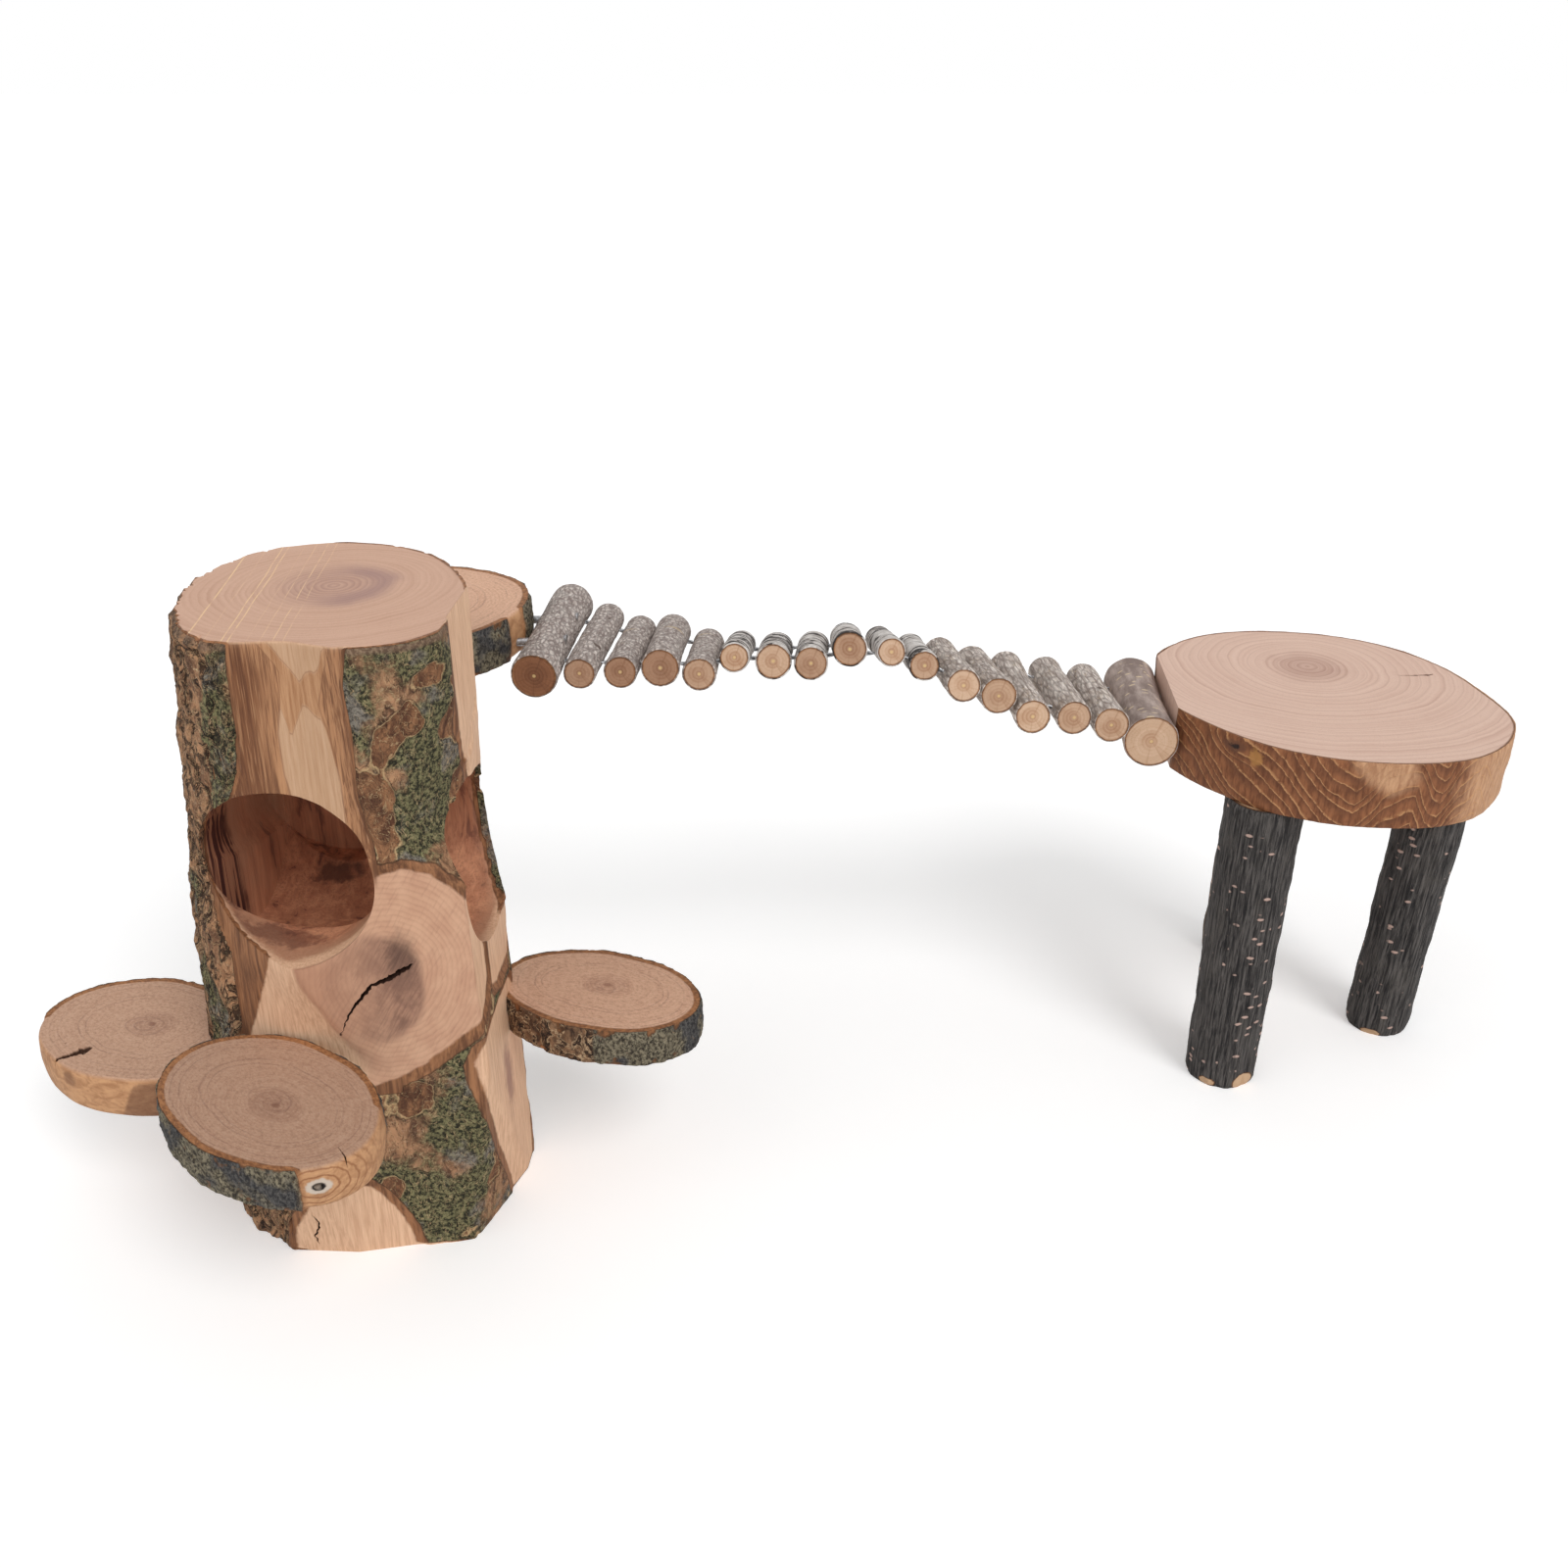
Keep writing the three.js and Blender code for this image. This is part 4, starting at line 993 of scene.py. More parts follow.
# Slice steps
# Four slices of branch with their bark on, sanded flat, coped to the trunk and held by one
# blind dowel each: three low ones as stairs, and a thick one at the back for the bridge.
slice_rim_shares = [1, 1.015, 0.99, 1.01, 0.985, 1, 1.015, 0.99, 1.005, 0.99, 1.01, 0.995]
slice_bulge = 0.02
slice_sides = 224
slice_tiers = 16
# Centre, half-axes, turn of the long axis, pith off the centre, how bright the wood is, where the bark is
# brown and where it has come off, in degrees round the rim, cracks in the top, and knots in the side
slices = {
    "left": {"centre": (-93.7, -3.1), "axes": (45, 34), "turn": -24, "pith": (3, 2), "bright": 0.86,
             "brown": (-180, 180), "bare": (172, 366), "knots": [],
             "cracks": [[(-122.6, -26.4, 1.2), (-119.5, -24.6, 2.2), (-116, -22.6, 3.4), (-113.3, -20.6, 4.2),
                         (-111, -18.8, 6), (-109.4, -18.6, 5.6), (-108.2, -19, 1.6)],
                        [(-121.6, -14.6, 0.2), (-120.4, -14.2, 0.7), (-119.4, -13.4, 0.2)]]},
    "front": {"centre": (-13.3, -86.4), "axes": (48, 31), "turn": -38, "pith": (3.5, -4.2), "bright": 0.72,
              "brown": (-36, -34), "bare": (-60.5, -8), "knots": [(13.2, -123.6, 91.6)],
              "cracks": [[(17.6, -112.6, 0.2), (20.4, -116.4, 0.6), (22, -119, 0.7)]]},
    "right": {"centre": (91.8, -1.1), "axes": (43, 27.5), "turn": -21, "pith": (2.9, 2.9), "bright": 1,
              "brown": (170, 268), "bare": None, "knots": [], "cracks": []},
    "upper": {"centre": (14, 77.8), "axes": (49, 46), "turn": 62, "pith": (0, 0), "bright": 1.12,
              "brown": (100, 200), "bare": (-22, -8), "knots": [], "cracks": []},
}
knot_bore = {"radius": 1.5, "depth": 9}
slice_relief = {"lumps": 0.8, "grit": 0.4, "sunk": 0.3,
                "bare_depth": 1.1, "bare_waves": 0.2, "bare_edge": 0.9}
# The slices' grain is read this far apart along the branch, so that no two of them look alike
slice_grain_apart = 300
# The darker place on the left step's bare side, as X and height round it
dark_side = [(-93.5, 49), (-85.5, 66.5), (-82, 68.6), (-60, 68.8), (-50, 72), (-50, 49)]


def slice_radius(piece, angles):
    """Distance from a slice's centre to its bark."""
    along = angles - math.radians(piece["turn"])
    long_half, short_half = piece["axes"]
    spread = np.hypot(short_half * np.cos(along), long_half * np.sin(along))
    return long_half * short_half / spread * share_around(slice_rim_shares, angles)


def stretch_share(stretch, angles, soft=0.05):
    """1 within a stretch of the rim that is given in degrees, 0 outside it."""
    if stretch is None:
        return np.zeros(angles.shape)
    start, end = np.radians(stretch)
    away = np.abs(turned(angles - (start + end) / 2)) - (end - start) / 2
    return 1 - ease(away, -0.6 * soft, soft)


def slice_bark(finish, grain):
    """Bark on a slice's rim: grey-green and finely dented, or brown and flaky."""
    fine = grain.stretch(z=0.7).noise(1.1, rough=0.7)
    lumps = grain.stretch(z=0.6).noise(4, rough=0.7, warp=0.7)
    flakes = grain.stretch(z=0.7).noise(7, rough=0.6, warp=1.4)
    grey = fine.rise(0.38, 0.62).mix((56, 50, 42), (142, 132, 110))
    blue = fine.rise(0.36, 0.7).mix((44, 43, 45), (100, 97, 94))
    grey = grain.noise(16, detail=2).rise(0.46, 0.6).mix(grey, blue)
    grey = (lumps.rise(0.62, 0.7) & 0.5).mix(grey, (150, 118, 84))
    dun = lumps.rise(0.34, 0.64).mix((66, 48, 38), (146, 112, 84))
    dun = (fine.rise(0.58, 0.72) & 0.6).mix(dun, (190, 162, 130))
    dun = (flakes.band(0.5, 0.05) & 0.75).mix(dun, (206, 178, 142))
    share = (finish.attribute("brown") + grain.uneven(9, 0.3)).rise(0.4, 0.6)
    tone = share.mix(grey, dun)
    cleft = (flakes - 0.57).maths("ABSOLUTE").fall(0.008, 0.035)
    cleft = cleft & share.blend(0.25, 1.0)
    tone = (cleft & 0.85).mix(tone, (40, 30, 26))
    height = fine * 0.5 + lumps * 0.9
    return tone, height + cleft * -0.9


def slice_bare(finish, grain):
    """The side of a slice where the bark is off: golden wood with growth lines that bend round knots."""
    knot = finish.attribute("knot")
    streaks = grain.stretch(z=1.6).noise(5, rough=0.6, warp=0.5)
    tone = streaks.rise(0.34, 0.68).mix((206, 157, 115), (172, 124, 87))
    lines = (knot * 0.45 + grain.uneven(7, 0.5)).maths("PINGPONG", 0.5)
    near = knot.fall(5, 22)
    tone = (lines.fall(0.02, 0.2) & near & 0.75).mix(tone, (138, 88, 56))
    swirl = (grain.stretch(z=0.45).noise(14, detail=2) * 9).maths("PINGPONG", 0.5)
    swirl = swirl.fall(0.02, 0.14) & finish.attribute("swirl")
    tone = (swirl & 0.65).mix(tone, (142, 96, 66))
    tone = (finish.attribute("spot") & streaks.blend(0.5, 1.0)).mix(tone, (120, 82, 60))
    tone = (knot + grain.uneven(2, 0.7)).fall(2.6, 3.4).mix(tone, (206, 190, 174))
    tone = knot.fall(1.3, 1.9).mix(tone, (30, 24, 22))
    return tone, streaks * 0.25 + lines * 0.15


slice_finish = Finish("slice_timber_and_bark")
grain_place = slice_finish.attribute("grain", "Vector")
bark = slice_bark(slice_finish, grain_place)
inner = under_bark(grain_place, (176, 122, 80), (122, 80, 52))
slice_colours = ((216, 174, 146), (188, 142, 116), (170, 128, 106))
tone, height, radius = ring_wood(grain_place, slice_colours, 1.5, 9, pores=1.8)
ring_share = slice_finish.attribute("ring")
ring_share = ring_share + grain_place.stretch(z=0.0).uneven(16, 0.03)
patchy = grain_place.noise(12, detail=2).rise(0.35, 0.6)
for share, width in ((0.17, 0.03), (0.24, 0.025), (0.56, 0.02), (0.62, 0.03), (0.8, 0.02), (0.88, 0.02)):
    line = ring_share.band(share, width) & patchy.blend(0.1, 0.5)
    tone = line.mix(tone, (150, 112, 96))
grit = grain_place.noise(1.2, detail=3, rough=0.8)
tone = (grit.rise(0.52, 0.62) & 0.35).mix(tone, (152, 112, 90))
tone = (grit.fall(0.38, 0.48) & 0.35).mix(tone, (230, 194, 168))
heart = radius.fall(0.5, 2.4)
tone = (heart & 0.6).mix(tone, (134, 88, 70))
bright = slice_finish.attribute("bright", "Vector")
tone = tone.vectors("MULTIPLY", bright)
wood = (tone, height)
depth = slice_finish.attribute("depth") + grain_place.uneven(3, 0.3)
tone, height, bark_share = layered(depth, bark, inner, wood, (0.5, 3.1))
bare_side = slice_bare(slice_finish, grain_place)
bare_place = slice_finish.attribute("bare")
tone = bare_place.mix(tone, bare_side[0])
height = bare_place.blend(height, bare_side[1])
tone = slice_finish.attribute("crack").rise(0.05, 0.9).mix(tone, (74, 48, 34))
slice_material = slice_finish.close(tone, height, bark_share.blend(0.66, 0.9))

for index, (name, piece) in enumerate(slices.items()):
    low, high = (np.array(corner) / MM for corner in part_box(f"step_{name}"))
    angles, heights = round_grid(slice_sides, slice_tiers)
    reach = slice_radius(piece, angles) * (1 + slice_bulge * np.sin(heights * np.pi))
    levels = low[2] + heights * (high[2] - low[2])
    rim = placed_round(piece["centre"], angles, reach, levels)
    bare = stretch_share(piece["bare"], angles)
    lumps = slice_relief["lumps"] * fuzz(rim, 6, 20 + index, 5) - slice_relief["sunk"]
    lumps = lumps + slice_relief["grit"] * fuzz(rim, 2.2, 30 + index, 3)
    edge = 1 - ease(np.abs(heights - 0.5), 0.42, 0.5)
    sunk = slice_relief["bare_depth"] - slice_relief["bare_waves"] * fuzz(rim, 9, 40 + index, 2)
    reach = reach + (1 - bare) * lumps - bare * (sunk + slice_relief["bare_edge"] * (1 - edge))
    rim = placed_round(piece["centre"], angles, reach, levels)
    step = place_piece(f"step_{name}_wood", round_mesh(f"step_{name}_wood", rim))
    carve(step, trunk_blank.copy())
    level_face = (np.array([0, 0, high[2]]), (1, 0, 0), (0, 1, 0))
    for number, crack in enumerate(piece["cracks"]):
        carve(step, crack_mesh(crack, *level_face, seed=9 + number))
    for knot_place in piece["knots"]:
        way = np.array([*piece["centre"], 0]) - (*knot_place[:2], 0)
        way = way / np.linalg.norm(way)
        knot_end = knot_place + way * knot_bore["depth"]
        carve(step, bore_mesh(knot_bore["radius"], knot_place - way * knot_bore["depth"], knot_end, sides=24))
    points = points_of(step.data)
    off_x, off_y = (points[:, :2] - piece["centre"]).T
    around = np.arctan2(off_y, off_x)
    depth = slice_radius(piece, around) - np.hypot(off_x, off_y)
    note(step.data, "depth", depth + 2.4 * stretch_share(piece["bare"], around))
    turn = math.radians(piece["turn"])
    pith_x, pith_y = off_x - piece["pith"][0], off_y - piece["pith"][1]
    mean_half = sum(piece["axes"]) / 2
    along = (pith_x * math.cos(turn) + pith_y * math.sin(turn)) * mean_half / piece["axes"][0]
    across = (pith_y * math.cos(turn) - pith_x * math.sin(turn)) * mean_half / piece["axes"][1]
    note(step.data, "grain", np.stack([along, across, points[:, 2] + slice_grain_apart * index], 1))
    from_pith = np.hypot(along, across)
    note(step.data, "ring", from_pith / (from_pith + np.maximum(depth, 0)))
    note(step.data, "bright", np.full(points.shape, piece["bright"]))
    note(step.data, "brown", stretch_share(piece["brown"], around, 0.2))
    on_side = 1 - ease(points[:, 2], high[2] - 0.3, high[2] - 0.05)
    note(step.data, "bare", stretch_share(piece["bare"], around) * on_side * (1 - ease(depth, 4, 6)))
    away = [np.linalg.norm((points - place) / (1.5, 1.5, 1), axis=1) for place in piece["knots"]]
    note(step.data, "knot", np.min([*away, np.full(len(points), 99.0)], 0))
    deep = [crack_depth(points, crack, *level_face) for crack in piece["cracks"]]
    note(step.data, "crack", np.max([*deep, np.zeros(len(points))], 0) * (depth > 1.5))
    side_place = points[:, [0, 2]]
    spot = ease(inside_distance(side_place, dark_side), -0.3, 0.7) * (off_y < 0)
    triangle = np.linalg.norm((points - np.array([-112.8, -31, 65.2])) / (3.4, 6, 3), axis=1)
    spot = np.maximum(spot, 0.75 * (1 - ease(triangle, 0.7, 1.2)))
    note(step.data, "spot", spot if name == "left" else np.zeros(len(points)))
    note(step.data, "swirl", 1 - ease(points[:, 0], -126, -119))
    settle(step, slice_material, "house")

# Dowels of the steps and legs
# Turned beech pegs, glued blind into the two pieces that they join, so that none shows.
dowel_finish = Finish("dowel_beech")
peg_place = dowel_finish.object_place()
fibres = peg_place.stretch(0.3, 0.3, 0.3).noise(0.6, rough=0.7)
beech = fibres.rise(0.4, 0.7).mix((222, 190, 146), (186, 148, 104))
dowel_material = dowel_finish.close(beech, fibres * 0.1, 0.6)


def cover_nodes(word, material):
    """Gives one material to all CAD nodes whose name holds a word."""
    for name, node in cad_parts.items():
        if word in name:
            node.data.materials.clear()
            node.data.materials.append(material)


cover_nodes("_dowel", dowel_material)

# Bridge sticks
# Seventeen lengths of branch with their bark on, sawn square and cross-drilled near both ends
# for the wires; they are all of one kind of stick, but of different barks.
stick_sides = 60
stick_steps = 84
end_rings = 8
# Size of the lumps and knobs along a stick, and how far they stand out as shares of its relief
stick_lumps = (16, 1.0)
stick_knobs = (4.5, 0.4)
stick_worn_edge = 0.25
stick_grain_apart = 211.7


class Maker:
    """A geometry tree with named inputs; it makes plain meshes in millimetres."""

    def __init__(self, name, sizes):
        self.tree = bpy.data.node_groups.new(name, "GeometryNodeTree")
        interface = self.tree.interface
        self.sockets = {}
        for size in sizes:
            self.sockets[size] = interface.new_socket(size, in_out="INPUT", socket_type="NodeSocketFloat")
        self.sockets["Material"] = interface.new_socket(
            "Material", in_out="INPUT", socket_type="NodeSocketMaterial"
        )
        interface.new_socket("Geometry", in_out="OUTPUT", socket_type="NodeSocketGeometry")
        outputs = self.tree.nodes.new("NodeGroupInput").outputs
        self.given = {socket.name: Signal(socket) for socket in outputs}

    def node(self, kind, values, output=0, **settings):
        return add_node(self.tree, f"GeometryNode{kind}", values, output, **settings)

    def store(self, geometry, name, value, kind="FLOAT"):
        return self.node("StoreNamedAttribute", {0: geometry, "Name": name, "Value": value}, data_type=kind)

    def finish(self, geometry):
        """Ends the tree with real geometry in its material."""
        real = self.node("RealizeInstances", {0: geometry})
        covered = self.node("SetMaterial", {0: real, "Material": self.given["Material"]})
        join(self.tree.nodes.new("NodeGroupOutput"), {0: covered})

    def make(self, name, values):
        """The plain mesh that the tree gives for these input values."""
        maker = place_piece(name, bpy.data.meshes.new(name))
        modifier = maker.modifiers.new("maker", "NODES")
        modifier.node_group = self.tree
        for size, value in values.items():
            modifier[self.sockets[size].identifier] = value
        evaluated = maker.evaluated_get(bpy.context.evaluated_depsgraph_get())
        mesh = bpy.data.meshes.new_from_object(evaluated)
        mesh.name = name
        bpy.data.objects.remove(maker)
        return mesh


stick_maker = Maker("stick", ["Length", "Diameter", "Relief", "Bow", "Swell", "Seed", "Tone"])
given = stick_maker.given
stick_radius = given["Diameter"] * 0.5
billet = stick_maker.node(
    "MeshCylinder",
    {"Vertices": stick_sides, "Side Segments": stick_steps, "Fill Segments": end_rings,
     "Radius": stick_radius, "Depth": given["Length"]},
    fill_type="TRIANGLE_FAN",
)
place = stick_maker.node("InputPosition", {})
place_x, place_y, place_z = place.parts()
across = vector(place_x, place_y)
from_pith = across.length()
below = stick_radius + from_pith * -1
seed_shift = given["Seed"] * stick_grain_apart
grain = vector(place_x, place_y, place_z + seed_shift)
billet = stick_maker.store(billet, "grain", grain, "FLOAT_VECTOR")
billet = stick_maker.store(billet, "depth", below)
billet = stick_maker.store(billet, "tone", given["Tone"])
outward = across.direction()
rim = outward.vectors("MULTIPLY", (8, 8, 0))
rim = rim.vectors("ADD", vector(z=place_z + seed_shift))
lumps = rim.uneven(*stick_lumps, detail=2)
knobs = rim.uneven(*stick_knobs)
run = place_z / given["Length"]
swelling = given["Swell"] * run * (run * 4)
growth = (lumps + knobs) * given["Relief"] + swelling
at_end = run.maths("ABSOLUTE").rise(0.488, 0.5)
growth = growth + at_end * -stick_worn_edge
share = from_pith / stick_radius
push = outward.scale(growth * share)
bow = given["Bow"] * (0.25 + run * run * -1)
push = push.vectors("ADD", vector(bow, bow * 0.6))
shaped = stick_maker.node("SetPosition", {0: billet, "Offset": push})
stick_maker.finish(shaped)


def netted_bark(grain):
    """Smooth grey-beige bark with a fine net of cracks and pale scars that run round the stick."""
    net = grain.stretch(z=0.5).cells(1.9)
    net = (net + grain.uneven(1.6, 0.12)).fall(0.04, 0.26)
    shade = grain.stretch(z=0.5).noise(2.2, rough=0.7)
    tone = shade.rise(0.36, 0.66).mix((164, 149, 142), (230, 219, 211))
    tone = (net & 0.55).mix(tone, (100, 88, 84))
    scar = grain.stretch(0.12, 0.12, 1).noise(7, detail=2)
    tone = (scar.rise(0.66, 0.7) & 0.7).mix(tone, (206, 180, 140))
    spot = grain.noise(8, detail=2)
    tone = (spot.rise(0.72, 0.76) & 0.8).mix(tone, (84, 66, 54))
    return tone, net * -0.25 + shade * 0.5


def birch_bark(grain):
    """White papery bark with black peeling patches and thin lines round the stick."""
    patches = grain.stretch(0.5, 0.5, 1).noise(7, detail=5, rough=0.62, warp=0.7)
    shade = grain.stretch(z=0.5).noise(4, rough=0.7)
    tone = shade.rise(0.35, 0.7).mix((194, 187, 181), (238, 233, 229))
    tone = (patches.rise(0.495, 0.52) & 0.6).mix(tone, (140, 126, 118))
    tone = (patches.rise(0.515, 0.555) & 0.95).mix(tone, (40, 34, 33))
    lines = grain.stretch(0.12, 0.12, 1).noise(1.1, detail=3, rough=0.6)
    tone = (lines.rise(0.62, 0.72) & 0.5).mix(tone, (110, 98, 90))
    return tone, shade * 0.4 + patches.rise(0.56, 0.62) * -0.35


def streaked_bark(grain):
    """Grey-brown bark with fine streaks along the stick and small twig scars."""
    streaks = grain.stretch(z=0.1).noise(1.1, rough=0.7)
    shade = grain.stretch(z=0.35).noise(8, detail=3)
    tone = streaks.rise(0.36, 0.66).mix((168, 153, 145), (242, 232, 223))
    tone = (shade.rise(0.5, 0.72) & 0.4).mix(tone, (166, 142, 120))
    clefts = grain.stretch(z=0.22).cells(2.4).fall(0.03, 0.2)
    tone = (clefts & 0.5).mix(tone, (92, 78, 70))
    dots = grain.stretch(z=0.6).cells(3.2, "F1")
    tone = (dots.fall(0.1, 0.2) & 0.6).mix(tone, (200, 180, 150))
    scar = grain.noise(9, detail=2)
    tone = (scar.rise(0.7, 0.75) & 0.75).mix(tone, (78, 62, 52))
    return tone, streaks * 0.4 + dots * -0.1


def dashed_bark(grain):
    """Grey-purple bark with small beige dashes round the stick."""
    shade = grain.stretch(z=0.35).noise(7, rough=0.65)
    tone = shade.rise(0.34, 0.68).mix((136, 119, 112), (194, 176, 167))
    dashes = grain.stretch(0.42, 0.42, 1).cells(3, "F1")
    dash = dashes.fall(0.16, 0.27) & grain.noise(6).rise(0.36, 0.46)
    tone = (dash & 0.95).mix(tone, (216, 194, 164))
    return tone, shade * 0.5 + dash * 0.2


def stick_material(name, bark_kind):
    """Bark round a stick, and at its sawn ends thin inner bark, wood from pale to brown, and a pith dot."""
    finish = Finish(name)
    grain = finish.attribute("grain", "Vector")
    warm = finish.attribute("tone")
    pale = warm.mix((224, 192, 164), (140, 92, 62))
    ring = warm.mix((192, 150, 112), (108, 66, 44))
    dark = warm.mix((176, 126, 90), (92, 56, 40))
    tone, height = ring_wood(grain, (pale, ring, dark), 1.3, 3.2, pores=1.3)[:2]
    turned_place = grain.stretch(z=0.0).direction()
    rays = turned_place.stretch(4, 4, 4).noise(1, detail=3, rough=0.7)
    tone = (rays.rise(0.52, 0.7) & 0.5).mix(tone, dark)
    from_pith = grain.stretch(z=0.0).length()
    tone = (from_pith.fall(0.4, 0.9) & 0.7).mix(tone, (226, 196, 138))
    bark = bark_kind(grain)
    inner = under_bark(grain, (168, 118, 78), (104, 70, 48))
    depth = finish.attribute("depth") + grain.uneven(2, 0.12)
    tone, height, bark_share = layered(depth, bark, inner, (tone, height), (0.28, 0.9))
    return finish.close(tone, height, bark_share.blend(0.66, 0.8))


stick_barks = {"netted": netted_bark, "birch": birch_bark, "streaked": streaked_bark, "dashed": dashed_bark}
bark_materials = {kind: stick_material(f"stick_{kind}_bark", bark) for kind, bark in stick_barks.items()}
# Bark, how brown its sawn ends are, and how far it bows and swells, in millimetres
stick_kinds = [
    ("netted", 0.95, 0.8, 0.5), ("netted", 0.55, 1, 0), ("netted", 0.7, 0.6, 0.3),
    ("netted", 0.7, 1.4, 0.4), ("netted", 0.4, 0.8, 0.2), ("birch", 0.2, 1.2, 0), ("birch", 0.25, 1, 0.2),
    ("birch", 0.5, 1.4, 0.3), ("birch", 0.5, 1, 0.3), ("birch", 0.15, 1.2, 0), ("birch", 0.35, 1, 0.2),
    ("streaked", 0.1, 1, 0.2), ("streaked", 0.35, 1.2, 0.4), ("streaked", 0.08, 1, 0.6),
    ("streaked", 0.3, 0.8, 0.2), ("streaked", 0.3, 1.2, 0.3), ("dashed", 0.12, 1.6, 1.2),
]
stick_relief = 0.45


def node_points(name):
    """The different points of a CAD node, in millimetres."""
    return np.unique(np.round(points_of(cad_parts[name].data) / MM, 3), axis=0)


def end_cap(name):
    """The facing of the sawn end of a stick that looks to the back; it is the largest flat part there."""
    areas = {}
    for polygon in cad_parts[name].data.polygons:
        if polygon.normal.y > 0.8:
            facing = tuple(round(share, 2) for share in polygon.normal)
            areas[facing] = areas.get(facing, 0) + polygon.area
    return np.array(Vector(max(areas, key=areas.get)).normalized())


def rod_ends(points, axis):
    """Middles of the two sawn ends of a rod-like piece that lies along an axis."""
    along = points @ axis
    return points[along < along.min() + 0.5].mean(0), points[along > along.max() - 0.5].mean(0)


def off_line(points, first, last):
    """How far points are from the line through two places."""
    axis = (last - first) / np.linalg.norm(last - first)
    return np.linalg.norm((points - first) - np.outer((points - first) @ axis, axis), axis=1)


stick_bodies = ["house", *[f"stick_{number:02d}" for number in range(2, 17)], "stool"]
stick_ends = []
stick_radii = []
for index, (kind, tone, bow, swell) in enumerate(stick_kinds):
    node_name = f"bridge_stick_{index + 1:02d}"
    points = node_points(node_name)
    first, last = rod_ends(points, end_cap(node_name))
    radius = off_line(points, first, last).max()
    stick_ends.append((first, last))
    stick_radii.append(radius)
    sizes = {
        "Length": float(np.linalg.norm(last - first)), "Diameter": float(2 * radius - stick_relief),
        "Relief": stick_relief, "Bow": float(bow), "Swell": float(swell), "Seed": float(index + 1),
        "Tone": tone, "Material": bark_materials[kind],
    }
    mesh = stick_maker.make(f"{node_name}_wood", sizes)
    mesh.transform(upended((first + last) / 2, (last - first) / np.linalg.norm(last - first)))
    stick = place_piece(f"{node_name}_wood", mesh)
    settle(stick, bark_materials[kind], stick_bodies[index])

# Bridge wires
# Two soft steel wires run through all the sticks, each a doubled strand with a slow twist, which
# shows in the gaps; each gap has its own straight piece of the strands, from one stick to the next.
strand_diameter = 0.95
strand_twist = 0.55
wire_maker = Maker("wire", ["Span", "Strand", "Twist"])
given = wire_maker.given
line = wire_maker.node("CurvePrimitiveLine", {"End": vector(z=given["Span"])})
line = wire_maker.node("ResampleCurve", {"Curve": line, "Count": 25})
along = wire_maker.node("SplineParameter", {}, "Length")
line = wire_maker.node("SetCurveTilt", {"Curve": line, "Tilt": along * given["Twist"]})
strands = wire_maker.node("JoinGeometry", {})
for side in (-0.5, 0.5):
    profile = wire_maker.node("CurvePrimitiveCircle", {"Resolution": 8, "Radius": given["Strand"] * 0.5})
    offset = vector(x=given["Strand"] * side)
    profile = wire_maker.node("Transform", {"Geometry": profile, "Translation": offset})
    join(strands.socket.node, {0: profile})
tube = wire_maker.node("CurveToMesh", {"Curve": line, "Profile Curve": strands, "Fill Caps": True})
wire_maker.finish(tube)

steel_finish = Finish("bright_steel")
steel_place = steel_finish.object_place()
scratches = steel_place.noise(0.8, rough=0.7)
steel = scratches.rise(0.4, 0.7).mix((150, 150, 152), (206, 206, 208))
steel_material = steel_finish.close(steel, scratches * 0.04, 0.34, specular=0.5, metallic=1.0)

wire_nodes = {side: node_points(f"bridge_wire_{side}") for side in ("front", "rear")}


def wire_at(side, index):
    """Where a wire passes through a stick: the middle of its points that are nearest to the stick's axis."""
    first, last = stick_ends[index]
    points = wire_nodes[side]
    nearest = np.argsort(off_line(points, first, last))[:8]
    return points[nearest].mean(0)


for index in range(len(stick_bodies) - 1):
    parts = []
    for side in wire_nodes:
        first, last = wire_at(side, index), wire_at(side, index + 1)
        span = float(np.linalg.norm(last - first))
        sizes = {"Span": span, "Strand": strand_diameter, "Twist": strand_twist, "Material": steel_material}
        mesh = wire_maker.make("strands", sizes)
        mesh.transform(Matrix.Scale(MM, 4) @ upended(first, last - first))
        parts.append(mesh)
    joined = bmesh.new()
    for mesh in parts:
        joined.from_mesh(mesh)
    wires = bpy.data.meshes.new(f"bridge_wires_gap_{index + 1:02d}")
    joined.to_mesh(wires)
    joined.free()
    wires.materials.append(steel_material)
    wires.shade_smooth()
    piece = place_piece(wires.name, wires)
    middle_first, middle_last = sum(stick_ends[index]) / 2, sum(stick_ends[index + 1]) / 2
    run = (middle_last - middle_first) / np.linalg.norm(middle_last - middle_first)
    start = (middle_first + run * stick_radii[index]) * MM
    end = (middle_last - run * stick_radii[index + 1]) * MM
    if index == 0:
        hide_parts("bridge_wire_front", "bridge_wire_rear")
    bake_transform(piece)

# Screws of the end sticks
# Countersunk steel wood screws, driven through the first and last stick into the wood behind.
cover_nodes("_screw_", steel_material)

# Stool top
# A thick slice of a bigger trunk, sanded on top, debarked and scraped at its side, with one flat
# sawn on its edge where the bridge ends.
stool_radius = 75
stool_shares = [0.9, 0.91, 0.96, 1, 1.07, 1.07, 1.03, 0.96, 0.97, 1, 1.06, 1.02]
stool_underside = 0.975
stool_flat = {"azimuth": 176, "distance": 69}
stool_pith = (-0.8, 29.2)
stool_relief = {"waves": 0.5, "grit": 0.16, "sunk": 0.3, "edge": 0.5}
# Azimuths round the side and how high the growth lines run there, and a crack in the top
growth_lines = [
    (-180, 74), (-153, 56), (-139, 41), (-121, 28), (-106.5, 6), (-97.7, 0), (-92.5, 9), (-89.4, 17),
    (-80, 21), (-75, 8), (-71.6, 5), (-66.6, 20), (-58, 28), (-48, 12), (-30, 46), (14, -8), (58, 42),
    (106, 2), (150, 60), (180, 74),
]
